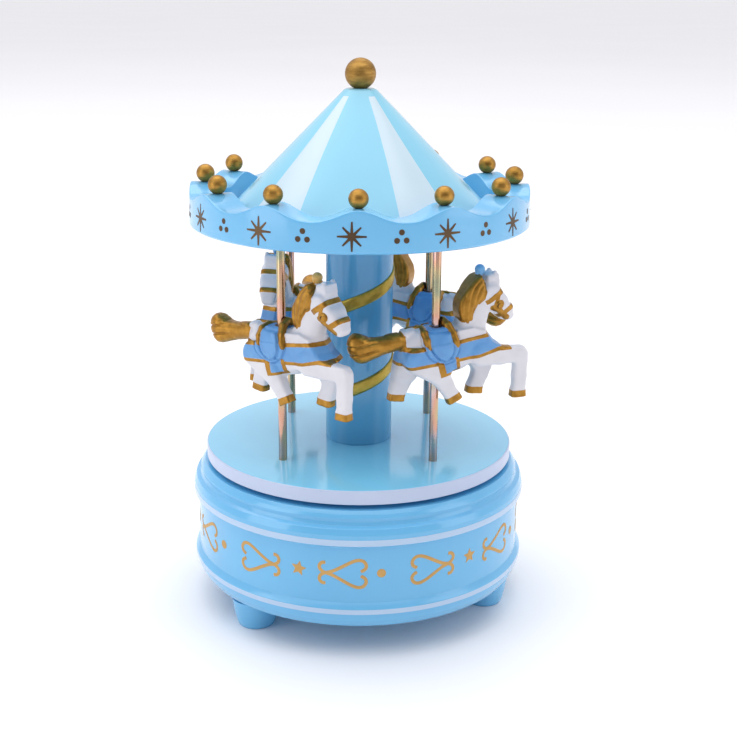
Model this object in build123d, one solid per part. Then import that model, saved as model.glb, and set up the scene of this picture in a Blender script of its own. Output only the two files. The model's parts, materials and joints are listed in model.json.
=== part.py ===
from build123d import *
import math
import os

# Wind-up carousel music box, in millimetres. +Z is up, the origin is on the ground under the axis.
# Places round the axis are given as an angle from the front (-Y) towards the right (+X).

# Base
FEET_HEIGHT = 9.6
FOOT_RING = 44.9
FOOT_ANGLES = {"foot_left": -47.2, "foot_right": 72.8, "foot_rear": 192.8}
FOOT_TOP_R = 8.0
FOOT_BOTTOM_R = 6.0
BASE_TOP = 48.2
BAND_R = 54.1
WALL_R = 51.5
LIP_R = 49.9
CEILING = 45.8
POST_RING = 44.0
POST_ANGLES = (12.8, 132.8, 252.8)
POST_R = 4.0
SCREW_R = 1.1
COVER_THICK = 2.2
COVER_R = 49.7
WELL_R = 20.0
WELL_CEILING = 15.6
WELL_THICK = 1.8

# Carousel
DECK_R = 51.0
DECK_BOTTOM = 49.6
HUB_TOP = 53.2
DECK_TOP = 54.3
COLUMN_R = 11.0
COLUMN_WALL = 2.0
CANOPY_BOTTOM = 127.3
COLUMN_SCREW_SPOTS = [(0.0, 7.6), (0.0, -7.6)]
POLE_RING = 34.0
POLE_R = 1.35
POLE_SEAT = 2.0
POLE_COUNT = 4
RING_R_LOW = 54.7
RING_R_TOP = 54.2
RING_WALL_R = 44.6
RING_INNER_R = RING_WALL_R - 0.9
RING_CREST = 140.0
RING_TROUGH = 136.4
SCALLOPS = 12
BALL_RING = 49.4
BALL_R = 2.92
BALL_Z = 142.6
PLATE_THICK = 1.8
POLE_TOP = CANOPY_BOTTOM + 1.2
ROOF_TOP_R = 5.3
ROOF_TOP = 169.6
ROOF_LOW_R = 44.3
ROOF_LOW = 129.4
ROOF_WALL = 1.8
FINIAL_R = 4.9
FINIAL_Z = 174.06

# Movement
BEDPLATE_Z = 17.4
BEDPLATE_THICK = 2.0
BRACKET_SCREW_SPOTS = [(16.1, 8.0), (16.1, -8.0), (40.1, -8.0), (38.0, 14.5)]
MOVEMENT_SCREW_SPOTS = [(0.0, 15.0), (12.99, -7.5), (-12.99, -7.5)]
FLOOR_Z = BEDPLATE_Z + BEDPLATE_THICK
FLANGE_TOP = FLOOR_Z + 1.2
ARBOR_R = 1.8
SPINDLE_R = 2.0
RUNNING_GAP = 0.05
BARREL_R = 12.0
BARREL_BOTTOM = 22.4
BARREL_TOP = 30.4
BARREL_WALL = 1.0
CROWN_TEETH = 36
PINION_TEETH = 12
CROWN_MODULE = 0.75
CROWN_R = CROWN_TEETH * CROWN_MODULE / 2
CROWN_FACE = 1.0
PINION_R = PINION_TEETH * CROWN_MODULE / 2
CROWN_PITCH_Z = 31.3
SHAFT_Z = CROWN_PITCH_Z + PINION_R
SHAFT_R = 1.0
DRUM_R = 6.3
DRUM_START = 18.2
DRUM_END = 35.2
GEAR_TEETH = 30
GOVERNOR_PINION_TEETH = 10
GEAR_MODULE = 0.5
GEAR_START = 36.2
GEAR_END = 37.8
GOVERNOR_Y = (GEAR_TEETH + GOVERNOR_PINION_TEETH) * GEAR_MODULE / 2
WORM_PITCH = 1.9
WORM_WHEEL_TEETH = 20
WORM_WHEEL_R = WORM_WHEEL_TEETH * WORM_PITCH / (2 * math.pi)
WORM_WHEEL_START = 39.2
WORM_WHEEL_END = 41.2
WORM_CORE_R = 1.5
WORM_OFFSET = 0.5
WORM_PHASE = 90.0
WORM_SHAFT_R = 0.6
GOVERNOR_SHAFT_R = 0.8
WORM_X = (WORM_WHEEL_START + WORM_WHEEL_END) / 2
WORM_Y = GOVERNOR_Y + WORM_WHEEL_R + WORM_CORE_R + 0.1
WORM_BOTTOM = 31.0
WORM_TOP = 40.5
COMB_TEETH = 18
COMB_BACK_Y = -27.0
COMB_ROOT_Y = -18.0
COMB_TIP_Y = -7.25
COMB_THICK = 1.0
COMB_SCREW_XS = (20.5, 32.9)
KEY_Z = 4.6

# How far each horse is turned on its pole, anticlockwise from the way the deck turns
HORSE_YAW = {1: -25.0, 2: 20.7, 3: 31.2, 4: 8.2}

# Horse, in its own frame: u forwards, v to its left, h above the deck
# Trunk sections: u, h, half width, half height
HORSE_TRUNK = [
    (-12.2, 38.2, 2.4, 3.4), (-9.0, 37.8, 5.0, 6.7), (-1.5, 36.5, 5.3, 7.6), (7.0, 37.6, 5.2, 8.0),
    (14.0, 38.4, 4.8, 6.4), (20.6, 38.0, 3.6, 2.8),
]
# Limbs: u, v, h, radius
HORSE_LIMBS = {
    "neck": [(10.6, 0, 41.5, 6.2), (12.0, 0, 49.0, 4.8), (14.4, 0, 55.4, 4.6)],
    "head": [(17.0, 0, 56.4, 4.0), (20.2, 0, 51.9, 3.5), (23.2, 0, 48.0, 2.6)],
    "right_fore": [
        (14.5, -3.2, 35.0, 3.2), (27.4, -3.5, 34.0, 2.5), (27.6, -3.5, 27.0, 1.9), (27.7, -3.5, 22.2, 2.3),
    ],
    "left_fore": [
        (14.5, 3.2, 34.6, 3.2), (17.4, 3.3, 28.2, 2.3), (15.6, 3.3, 24.2, 1.9), (14.9, 3.3, 22.7, 2.3),
    ],
    "right_hind": [
        (-7.5, -3.2, 34.5, 4.2), (0.4, -3.5, 29.6, 2.9), (3.2, -3.5, 25.2, 2.1), (5.5, -3.5, 22.5, 2.2),
    ],
    "left_hind": [
        (-8.0, 3.2, 34.5, 4.0), (-9.5, 3.3, 29.3, 2.9), (-10.9, 3.3, 25.3, 2.1), (-11.6, 3.3, 22.9, 2.3),
    ],
    "tail": [(-10.0, 0, 40.5, 2.7), (-15.5, 0, 40.3, 2.9), (-20.5, 0, 39.5, 3.1), (-25.6, 0, 39.9, 3.6)],
}
HORSE_SADDLE = ((-4.0, -5.6, 41.0), (3.6, 5.6, 44.0))
HORSE_BORE_GAP = 0.03


def around(radius, angle, z=0.0):
    """A place at this radius and angle from the front."""
    turn = math.radians(angle)
    return (radius * math.sin(turn), -radius * math.cos(turn), z)


def tube(outer, inner, bottom, top):
    """A straight ring round the main axis."""
    body = Pos(0, 0, bottom) * Cylinder(outer, top - bottom, align=(Align.CENTER, Align.CENTER, Align.MIN))
    if inner <= 0:
        return body
    return body - Pos(0, 0, bottom - 1) * Cylinder(
        inner, top - bottom + 2, align=(Align.CENTER, Align.CENTER, Align.MIN)
    )


def disc(radius, bottom, top, x=0.0, y=0.0):
    """A solid round bar standing at x, y."""
    return Pos(x, y, bottom) * Cylinder(
        radius, top - bottom, align=(Align.CENTER, Align.CENTER, Align.MIN)
    )


def bar_x(radius, start, end, y, z):
    """A round bar along X."""
    return Pos(start, y, z) * Rot(0, 90, 0) * Cylinder(
        radius, end - start, align=(Align.CENTER, Align.CENTER, Align.MIN)
    )


def block(low, high):
    """A box between two corners."""
    size = [high[i] - low[i] for i in range(3)]
    centre = [(high[i] + low[i]) / 2 for i in range(3)]
    return Pos(*centre) * Box(*size)


def turned(points):
    """A solid turned on the main axis from a profile of (radius, height) points."""
    with BuildSketch(Plane.XZ) as profile:
        with BuildLine():
            Polyline(*points, close=True)
        make_face()
    return revolve(profile.sketch, axis=Axis.Z)


def gear_profile(teeth, module, addendum, dedendum, thin, pressure=20.0):
    """An involute spur gear outline, its first tooth centred on +X."""
    pitch_r = teeth * module / 2
    base_r = pitch_r * math.cos(math.radians(pressure))
    tip_r = pitch_r + addendum
    root_r = pitch_r - dedendum
    half_pitch = math.pi / (2 * teeth) - thin / (2 * pitch_r)

    def involute(radius):
        slope = math.acos(min(1.0, base_r / radius))
        return math.tan(slope) - slope

    def half_angle(radius):
        return half_pitch + involute(pitch_r) - involute(max(radius, base_r))

    radii = [root_r] + [max(base_r, root_r) + (tip_r - max(base_r, root_r)) * i / 3 for i in range(4)]
    points = []
    for tooth in range(teeth):
        centre = 2 * math.pi * tooth / teeth
        flank = [(r, centre - half_angle(r)) for r in radii]
        flank += [(r, centre + half_angle(r)) for r in reversed(radii)]
        for r, angle in flank:
            point = (r * math.cos(angle), r * math.sin(angle))
            if not points or math.dist(points[-1], point) > 1e-4:
                points.append(point)
    return points


def spur_gear_x(points, start, end, y, z, turn=0.0):
    """A toothed wheel with its axis along X; turn is its rotation about that axis."""
    with BuildSketch() as sketch:
        with BuildLine():
            Polyline(*points, close=True)
        make_face()
    wheel = extrude(sketch.sketch, amount=end - start)
    # The first tooth points along +Y, then the wheel is turned about its axis.
    upright = Plane(origin=(start, y, z), x_dir=(0, 1, 0), z_dir=(1, 0, 0))
    return upright * Rot(0, 0, turn) * wheel


# ---------------------------------------------------------------- base

def base_housing():
    outline = [
        (LIP_R, FEET_HEIGHT), (50.5, FEET_HEIGHT), (53.2, 10.2), (54.6, 13.0), (55.7, 15.4), (55.7, 17.4),
        (54.6, 18.4), (BAND_R, 18.9), (BAND_R, 37.2), (55.6, 38.0), (55.8, 40.2), (55.5, 41.6), (54.6, 43.2),
        (53.2, 44.0), (52.8, 45.0), (53.0, 46.1), (52.6, 47.0), (51.8, BASE_TOP), (4.0, BASE_TOP),
        (4.0, CEILING), (WALL_R, CEILING), (WALL_R, 14.0), (LIP_R, 12.4),
    ]
    body = turned(outline)
    cover_top = FEET_HEIGHT + COVER_THICK
    for angle in POST_ANGLES:
        x, y, _ = around(POST_RING, angle)
        rib = Pos(*around(48.0, angle, (cover_top + 4 + CEILING) / 2)) * Rot(0, 0, angle) * Box(
            2.0, 8.0, CEILING - cover_top - 4
        )
        body += disc(POST_R, cover_top, CEILING + 0.5, x, y) + rib
        body -= disc(SCREW_R, cover_top - 1, cover_top + 10, x, y)
    return body


def bottom_cover():
    top = FEET_HEIGHT + COVER_THICK
    well_top = WELL_CEILING + WELL_THICK
    cover = tube(COVER_R, WELL_R, FEET_HEIGHT, top)
    cover += tube(WELL_R + 2.0, WELL_R, FEET_HEIGHT, well_top)
    cover += tube(WELL_R + 1.0, 4.6, WELL_CEILING, well_top)
    cover += disc(3.0, FEET_HEIGHT + 1, BEDPLATE_Z, 36.0, 0.0)
    for angle in POST_ANGLES:
        x, y, _ = around(POST_RING, angle)
        cover -= disc(1.4, FEET_HEIGHT - 1, top + 1, x, y)
        cover -= disc(2.6, FEET_HEIGHT - 1, FEET_HEIGHT + 1.0, x, y)
    for angle in FOOT_ANGLES.values():
        x, y, _ = around(FOOT_RING, angle)
        cover -= disc(2.5, FEET_HEIGHT - 1, top + 1, x, y)
    for x, y in MOVEMENT_SCREW_SPOTS:
        cover -= disc(1.4, WELL_CEILING - 1, well_top + 1, x, y)
    return cover


def foot(angle):
    x, y, _ = around(FOOT_RING, angle)
    with BuildSketch(Plane.XZ) as profile:
        with BuildLine():
            Polyline(
                (0, 0), (FOOT_BOTTOM_R - 0.8, 0), (FOOT_BOTTOM_R, 0.6), (7.3, 5.0),
                (FOOT_TOP_R, FEET_HEIGHT), (2.5, FEET_HEIGHT), (2.5, FEET_HEIGHT + COVER_THICK),
                (0, FEET_HEIGHT + COVER_THICK), close=True,
            )
        make_face()
    return Pos(x, y, 0) * revolve(profile.sketch, axis=Axis.Z)


def screw(x, y, head_z, head_height, tip_z, head_r=2.2):
    """A pan-head screw; its head starts at head_z and its tip is at tip_z, above or below."""
    up = tip_z > head_z
    head_top = head_z + head_height
    head = disc(head_r, head_z, head_top, x, y)
    if up:
        slot_z = head_z
        shank = disc(SCREW_R - 0.02, head_top - 0.2, tip_z, x, y)
    else:
        slot_z = head_top - 0.5
        shank = disc(SCREW_R - 0.02, tip_z, head_z + 0.2, x, y)
    slot = block((x - head_r, y - 0.25, slot_z), (x + head_r, y + 0.25, slot_z + 0.5))
    return head - slot + shank


def group(solids):
    """Separate solids kept in one node."""
    return Compound(children=solids)


def cover_screws():
    spots = [around(POST_RING, angle) for angle in POST_ANGLES]
    return group([screw(x, y, FEET_HEIGHT - 0.4, 1.4, 20.0) for x, y, _ in spots])


# ---------------------------------------------------------------- movement frame

def bedplate():
    plate = block((-16.0, -28.0, BEDPLATE_Z), (45.0, 24.4, FLOOR_Z))
    plate = plate.fillet(9.0, plate.edges().filter_by(Axis.Z))
    plate += block((16.6, COMB_BACK_Y - 0.5, BEDPLATE_Z + 1), (35.4, COMB_ROOT_Y, SHAFT_Z - COMB_THICK / 2))
    plate -= disc(3.2, BEDPLATE_Z - 1, FLOOR_Z + 1)
    for x, y in MOVEMENT_SCREW_SPOTS:
        plate -= disc(SCREW_R, BEDPLATE_Z - 1, FLOOR_Z + 1, x, y)
    for x in COMB_SCREW_XS:
        plate -= disc(SCREW_R, 26.0, SHAFT_Z, x, COMB_BACK_Y + 4.0)
    for x, y in BRACKET_SCREW_SPOTS:
        plate -= disc(SCREW_R, BEDPLATE_Z - 1, FLOOR_Z + 1, x, y)
    return plate


def movement_screws():
    return group([screw(x, y, WELL_CEILING - 1.4, 1.4, FLOOR_Z - 0.1) for x, y in MOVEMENT_SCREW_SPOTS])


def bracket_screws():
    heads = FLANGE_TOP
    return group([screw(x, y, heads, 1.2, BEDPLATE_Z + 0.1, 1.8) for x, y in BRACKET_SCREW_SPOTS])


def inner_bearing():
    """A brass bracket between the pinion and the drum, with a foot each side of the shaft."""
    leg = block((15.4, -4.0, FLOOR_Z), (17.0, 4.0, SHAFT_Z + 2.5))
    leg += block((14.3, -10.0, FLOOR_Z), (17.9, 10.0, FLANGE_TOP))
    leg -= block((14.0, -2.5, FLANGE_TOP), (15.4, 2.5, FLOOR_Z + 3))
    leg -= bar_x(SHAFT_R + RUNNING_GAP, 14.0, 19.0, 0.0, SHAFT_Z)
    for x, y in BRACKET_SCREW_SPOTS[:2]:
        leg -= disc(SCREW_R + 0.1, FLOOR_Z - 1, FLOOR_Z + 2, x, y)
    return leg


def outer_bearing():
    """The outer end bracket, standing clear of the governor wheel."""
    leg = block((38.3, -4.0, FLOOR_Z), (38.9, 2.4, SHAFT_Z + 2.4))
    leg += block((38.3, -10.0, FLOOR_Z), (42.0, -4.0, FLANGE_TOP))
    leg -= bar_x(SHAFT_R + RUNNING_GAP, 38.0, 40.0, 0.0, SHAFT_Z)
    x, y = BRACKET_SCREW_SPOTS[2]
    return leg - disc(SCREW_R + 0.1, FLOOR_Z - 1, FLOOR_Z + 2, x, y)


def governor_bracket():
    """Carries the governor wheel's shaft and, on a post behind it, the upright worm between two arms."""
    cheek_low = GOVERNOR_Y - 1.8
    cheek_high = GOVERNOR_Y + 1.8
    post_y = WORM_Y + 4.4
    body = block((34.2, cheek_low, FLOOR_Z), (35.0, cheek_high, SHAFT_Z + 2.0))
    body += block((42.2, cheek_low, FLOOR_Z), (43.2, cheek_high, SHAFT_Z + 2.0))
    body += block((34.2, cheek_low, FLOOR_Z), (43.2, post_y + 1.0, FLANGE_TOP))
    body += block((WORM_X - 2.0, post_y, FLOOR_Z), (WORM_X + 2.0, post_y + 1.0, 44.8))
    for arm_z in (26.4, 43.6):
        body += block((WORM_X - 2.0, WORM_Y - 1.6, arm_z), (WORM_X + 2.0, post_y + 0.5, arm_z + 1.2))
    body -= bar_x(GOVERNOR_SHAFT_R + RUNNING_GAP, 34.0, 43.5, GOVERNOR_Y, SHAFT_Z)
    body -= disc(WORM_SHAFT_R + RUNNING_GAP, 26.6, 44.4, WORM_X, WORM_Y)
    x, y = BRACKET_SCREW_SPOTS[3]
    return body - disc(SCREW_R + 0.1, FLOOR_Z - 1, FLOOR_Z + 2, x, y)


def comb():
    """A steel comb: a solid back and tuned teeth that end beside the drum's pins."""
    low = SHAFT_Z - COMB_THICK / 2
    high = SHAFT_Z + COMB_THICK / 2
    plate = block((DRUM_START - 1.0, COMB_BACK_Y, low), (DRUM_END + 0.2, COMB_ROOT_Y + 3.0, high))
    pitch = (DRUM_END - DRUM_START - 0.6) / COMB_TEETH
    for tooth in range(COMB_TEETH):
        x = DRUM_START + 0.3 + pitch * tooth
        root = COMB_ROOT_Y + 2.5 + 3.5 * tooth / COMB_TEETH
        plate += block((x, COMB_ROOT_Y + 2.0, low), (x + pitch * 0.72, root + 0.6, high))
        plate += block((x, root, SHAFT_Z - 0.3), (x + pitch * 0.72, COMB_TIP_Y, SHAFT_Z + 0.2))
    for x in COMB_SCREW_XS:
        plate -= disc(SCREW_R + 0.1, low - 1, high + 1, x, COMB_BACK_Y + 4.0)
    return plate


def comb_screws():
    top = SHAFT_Z + COMB_THICK / 2
    return group([screw(x, COMB_BACK_Y + 4.0, top, 1.4, 27.0) for x in COMB_SCREW_XS])


def click_spring():
    """A bent spring strip whose tip rests just off the ratchet's teeth."""
    strip = block((-14.0, 8.6, FLOOR_Z), (-8.0, 11.0, FLOOR_Z + 0.5))
    strip += block((-9.0, 8.6, FLOOR_Z), (-8.5, 11.0, FLOOR_Z + 2.0))
    strip += Pos(-4.4, 8.3, FLOOR_Z + 1.4) * Rot(0, 0, -14) * Box(8.6, 0.5, 1.2)
    return strip


def top_bush():
    return tube(4.0, SPINDLE_R + RUNNING_GAP, CEILING, BASE_TOP + 0.4) + tube(
        5.5, SPINDLE_R + RUNNING_GAP, CEILING - 1.0, CEILING
    )


def arbor_bush():
    return tube(3.2, ARBOR_R + RUNNING_GAP, BEDPLATE_Z, FLOOR_Z) + tube(
        4.2, ARBOR_R + RUNNING_GAP, BEDPLATE_Z - 1.0, BEDPLATE_Z
    )


# ---------------------------------------------------------------- winding

def winding_key():
    """A pressed wing key with a round boss, for thumb and finger."""
    with BuildSketch(Plane.XZ) as outline:
        with BuildLine():
            left = Spline((-3.0, 9.4), (-8.0, 11.4), (-12.0, 8.0), (-9.0, 4.3), (0.0, 3.4))
            right = Spline((0.0, 3.4), (9.0, 4.3), (12.0, 8.0), (8.0, 11.4), (3.0, 9.4))
            Line(right @ 1, left @ 0)
        make_face()
    wings = extrude(outline.sketch, amount=0.8, both=True)
    boss = disc(3.2, KEY_Z, 14.4)
    key = wings + boss
    for side in (-1, 1):
        key -= Pos(side * 7.8, 0, 7.6) * Rot(90, 0, 0) * Cylinder(1.7, 4)
    return key - disc(ARBOR_R, KEY_Z + 2.0, 15.0)


def winding_arbor():
    return disc(ARBOR_R, KEY_Z + 2.0, 24.0) + disc(3.0, 24.0, 29.2)


def ratchet_wheel():
    """Saw teeth on a small wheel under the barrel."""
    teeth = 16
    points = []
    for tooth in range(teeth):
        angle = 2 * math.pi * tooth / teeth
        step = 2 * math.pi / teeth
        points.append((6.2 * math.cos(angle), 6.2 * math.sin(angle)))
        points.append((5.3 * math.cos(angle + step * 0.98), 5.3 * math.sin(angle + step * 0.98)))
    with BuildSketch() as sketch:
        with BuildLine():
            Polyline(*points, close=True)
        make_face()
    wheel = Pos(0, 0, FLOOR_Z + 0.8) * extrude(sketch.sketch, amount=1.4)
    return wheel - disc(ARBOR_R, FLOOR_Z - 1, FLOOR_Z + 4)


# ---------------------------------------------------------------- spring barrel

def spring_barrel():
    """The barrel's closed top carries a crown of upright teeth for the cylinder's pinion."""
    crown_in = CROWN_R - CROWN_FACE
    crown_out = CROWN_R + CROWN_FACE
    barrel = disc(BARREL_R, BARREL_BOTTOM, BARREL_TOP)
    barrel += disc(crown_out, BARREL_TOP - 1.6, BARREL_TOP)
    barrel -= disc(BARREL_R - BARREL_WALL, BARREL_BOTTOM - 1, BARREL_TOP - 1.0)
    barrel -= disc(SPINDLE_R, BARREL_TOP - 2, BARREL_TOP + 2)
    pitch = math.pi * CROWN_MODULE
    half = pitch / 4 - 0.11
    rise = math.tan(math.radians(20))
    up = 0.55
    down = CROWN_PITCH_Z - BARREL_TOP
    outline = Polyline(
        (-half - rise * down, -down - 0.2), (half + rise * down, -down - 0.2),
        (half - rise * up, up), (-half + rise * up, up), close=True,
    )
    face = make_face(outline)
    profile = Plane(origin=(crown_in + 0.1, 0, CROWN_PITCH_Z), x_dir=(0, 1, 0), z_dir=(1, 0, 0)) * face
    tooth = extrude(profile, amount=2 * CROWN_FACE - 0.25, dir=(1, 0, 0))
    for index in range(CROWN_TEETH):
        barrel += Rot(0, 0, 360 * index / CROWN_TEETH) * tooth
    return barrel


def barrel_cover():
    inner = BARREL_R - BARREL_WALL
    return tube(inner, 3.2, BARREL_BOTTOM, BARREL_BOTTOM + 0.8)


def mainspring():
    """The coiled strip between the arbor and the barrel wall, as one wound spiral."""
    turns = 5
    start_r = 3.6
    step = (BARREL_R - BARREL_WALL - 0.5 - start_r) / turns
    inner = []
    outer = []
    count = turns * 12
    for index in range(count + 1):
        angle = 2 * math.pi * index / 12
        radius = start_r + step * index / 12
        inner.append((radius * math.cos(angle), radius * math.sin(angle)))
        outer.append(((radius + 0.35) * math.cos(angle), (radius + 0.35) * math.sin(angle)))
    with BuildSketch() as strip:
        with BuildLine():
            first = Spline(*inner)
            second = Spline(*outer)
            Line(first @ 0, second @ 0)
            Line(first @ 1, second @ 1)
        make_face()
    return Pos(0, 0, BARREL_BOTTOM + 1.4) * extrude(strip.sketch, amount=5.0)


def drive_spindle():
    """Turns with the barrel, passes the housing's bush and drives the deck by a flat."""
    shaft = disc(SPINDLE_R, BARREL_TOP - 1.0, 53.0) + disc(3.4, BARREL_TOP, BARREL_TOP + 3.0)
    return shaft - block((1.4, -3.0, 49.4), (3.0, 3.0, 54.0))


# ---------------------------------------------------------------- cylinder and governor

def music_cylinder():
    """A brass drum with rows of short pins for the comb."""
    drum = bar_x(DRUM_R, DRUM_START, DRUM_END, 0.0, SHAFT_Z)
    drum -= bar_x(DRUM_R - 0.7, DRUM_START + 1.0, DRUM_END - 1.0, 0.0, SHAFT_Z)
    drum -= bar_x(SHAFT_R, DRUM_START - 1, DRUM_END + 1, 0.0, SHAFT_Z)
    pitch = (DRUM_END - DRUM_START - 0.6) / COMB_TEETH
    pins = []
    for tooth in range(COMB_TEETH):
        x = DRUM_START + 0.3 + pitch * (tooth + 0.36)
        for note in range(3):
            angle = 15 + (tooth * 67 + note * 113) % 330
            pin = Cylinder(0.16, 1.0, align=(Align.CENTER, Align.CENTER, Align.MIN))
            pins.append(Pos(x, 0, SHAFT_Z) * Rot(90 + angle, 0, 0) * Pos(0, 0, DRUM_R - 0.4) * pin)
    return drum + pins


def cylinder_shaft():
    return bar_x(SHAFT_R, 11.6, 39.0, 0.0, SHAFT_Z)


def cylinder_pinion():
    points = gear_profile(PINION_TEETH, CROWN_MODULE, 0.5, 0.75, 0.18)
    wheel = spur_gear_x(points, CROWN_R - 0.9, CROWN_R + 0.9, 0.0, SHAFT_Z, -90 + 180 / PINION_TEETH)
    return wheel - bar_x(SHAFT_R, 10.0, 18.0, 0.0, SHAFT_Z)


def cylinder_gear():
    points = gear_profile(GEAR_TEETH, GEAR_MODULE, 0.38, 0.6, 0.12)
    wheel = spur_gear_x(points, GEAR_START, GEAR_END, 0.0, SHAFT_Z, 0.0)
    return wheel - bar_x(SHAFT_R, 35.0, 39.0, 0.0, SHAFT_Z)


def governor_wheel():
    """Pinion, shaft and worm wheel moulded in one."""
    pinion = gear_profile(GOVERNOR_PINION_TEETH, GEAR_MODULE, 0.38, 0.6, 0.12)
    wheel = spur_gear_x(pinion, GEAR_START + 0.1, GEAR_END - 0.1, GOVERNOR_Y, SHAFT_Z, 180 / 10 + 180)
    module = WORM_PITCH / math.pi
    big = gear_profile(WORM_WHEEL_TEETH, module, 0.35, 0.62, 0.55)
    wheel += spur_gear_x(big, WORM_WHEEL_START, WORM_WHEEL_END, GOVERNOR_Y, SHAFT_Z, 0.0)
    wheel += bar_x(1.4, GEAR_END - 0.2, WORM_WHEEL_START + 0.1, GOVERNOR_Y, SHAFT_Z)
    return wheel + bar_x(GOVERNOR_SHAFT_R, 34.2, 43.2, GOVERNOR_Y, SHAFT_Z)


def governor_worm():
    """An upright single-start worm: a round bar set off its axis and twisted once per pitch."""
    length = WORM_TOP - WORM_BOTTOM
    turns = length / WORM_PITCH
    start_turn = -360.0 * (SHAFT_Z - WORM_BOTTOM) / WORM_PITCH + WORM_PHASE
    section = Pos(WORM_OFFSET, 0) * Circle(WORM_CORE_R)
    thread = Solid.extrude_linear_with_rotation(
        section.face(), (0, 0, 0), (0, 0, length), 360.0 * turns
    )
    thread = Pos(WORM_X, WORM_Y, WORM_BOTTOM) * Rot(0, 0, start_turn) * thread
    shaft = disc(WORM_SHAFT_R, 26.8, 44.2, WORM_X, WORM_Y)
    return thread + shaft + disc(1.2, 28.6, WORM_BOTTOM + 0.3, WORM_X, WORM_Y)


def governor_fan():
    """Two light vanes that brake the worm in the air."""
    hub = disc(1.4, WORM_TOP + 0.4, 43.2, WORM_X, WORM_Y)
    vanes = block((WORM_X - 3.6, WORM_Y - 0.25, WORM_TOP + 0.6), (WORM_X + 3.6, WORM_Y + 0.25, 43.0))
    return (hub + vanes) - disc(WORM_SHAFT_R, WORM_TOP - 1, 44.0, WORM_X, WORM_Y)


# ---------------------------------------------------------------- carousel

def deck_hub():
    """A brass collar under the deck that takes the spindle's flat."""
    hub = tube(4.6, 0, 48.9, HUB_TOP)
    bore = disc(SPINDLE_R, 48.0, 53.0) - block((1.4, -3.0, 49.4), (3.0, 3.0, 54.0))
    return hub - bore


def deck():
    body = turned([
        (4.6, DECK_BOTTOM), (DECK_R - 0.4, DECK_BOTTOM), (DECK_R, DECK_BOTTOM + 0.4),
        (DECK_R, DECK_TOP - 0.5), (DECK_R - 0.5, DECK_TOP), (0, DECK_TOP), (0, HUB_TOP), (4.6, HUB_TOP),
    ])
    for index in range(POLE_COUNT):
        x, y, _ = around(POLE_RING, 45 + 90 * index)
        body -= disc(POLE_R, DECK_TOP - POLE_SEAT, DECK_TOP + 1, x, y)
    for x, y in COLUMN_SCREW_SPOTS:
        body -= disc(SCREW_R + 0.1, DECK_BOTTOM - 1, DECK_TOP + 1, x, y)
        body -= disc(2.2, DECK_BOTTOM - 1, DECK_BOTTOM + 1.4, x, y)
    return body


def column():
    body = tube(COLUMN_R, COLUMN_R - COLUMN_WALL, DECK_TOP, CANOPY_BOTTOM)
    body += tube(COLUMN_R - 1, 0, CANOPY_BOTTOM - 2, CANOPY_BOTTOM) + disc(4.0, CANOPY_BOTTOM - 0.5, 131.0)
    for x, y in COLUMN_SCREW_SPOTS:
        body += disc(2.6, DECK_TOP, DECK_TOP + 12, x, y)
        body -= disc(SCREW_R, DECK_TOP - 1, DECK_TOP + 10, x, y)
    return body


def column_screws():
    return group([screw(x, y, DECK_BOTTOM, 1.4, DECK_TOP + 9) for x, y in COLUMN_SCREW_SPOTS])


def pole(index):
    x, y, _ = around(POLE_RING, 45 + 90 * index)
    return disc(POLE_R, DECK_TOP - POLE_SEAT, POLE_TOP, x, y)


def canopy_plate():
    """The flat ceiling that the poles and the column reach."""
    body = tube(RING_INNER_R, 4.0, CANOPY_BOTTOM, CANOPY_BOTTOM + PLATE_THICK)
    for index in range(POLE_COUNT):
        x, y, _ = around(POLE_RING, 45 + 90 * index)
        body -= disc(POLE_R, CANOPY_BOTTOM - 1, POLE_TOP, x, y)
    return body


def canopy_ring():
    """The rim: a ring whose top rises under each ball and dips between them."""
    ring = turned([
        (RING_INNER_R, CANOPY_BOTTOM), (RING_R_LOW - 0.6, CANOPY_BOTTOM),
        (RING_R_LOW, CANOPY_BOTTOM + 0.6),
        (RING_R_LOW, CANOPY_BOTTOM + 2.0), (RING_R_TOP, RING_CREST - 1.0), (RING_R_TOP, RING_CREST),
        (RING_WALL_R, RING_CREST), (RING_WALL_R, CANOPY_BOTTOM + PLATE_THICK),
        (RING_INNER_R, CANOPY_BOTTOM + PLATE_THICK),
    ])
    half_chord = BALL_RING * math.sin(math.pi / SCALLOPS) - 3.4
    sag = RING_CREST - RING_TROUGH
    radius = (half_chord * half_chord + sag * sag) / (2 * sag)
    cutter = Pos(0, -BALL_RING, RING_TROUGH + radius) * Rot(90, 0, 0) * Cylinder(radius, 16)
    for index in range(SCALLOPS):
        ring -= Rot(0, 0, 360 * (index + 0.5) / SCALLOPS) * cutter
    return ring


def rim_ball(index):
    """A ball with a small flat that stands on a crest of the rim."""
    x, y, _ = around(BALL_RING, 360 * index / SCALLOPS)
    ball = Pos(x, y, BALL_Z) * Sphere(BALL_R)
    return ball - block((x - 4, y - 4, BALL_Z - 4), (x + 4, y + 4, RING_CREST))


def canopy_roof():
    """A thin cone set inside the rim, with a rounded shoulder under the finial."""
    slope = (ROOF_LOW_R - ROOF_TOP_R) / (ROOF_TOP - 0.3 - ROOF_LOW)
    thick = ROOF_WALL * math.hypot(1, slope) / slope
    return turned([
        (0, ROOF_TOP), (ROOF_TOP_R - 1.1, ROOF_TOP), (ROOF_TOP_R - 0.3, ROOF_TOP - 0.2),
        (ROOF_TOP_R, ROOF_TOP - 0.6), (ROOF_LOW_R, ROOF_LOW), (ROOF_LOW_R - 3.0, ROOF_LOW),
        (ROOF_TOP_R - 1.6, ROOF_TOP - thick), (0, ROOF_TOP - thick),
    ]) - disc(1.5, ROOF_TOP - 4, ROOF_TOP + 1)


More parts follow.
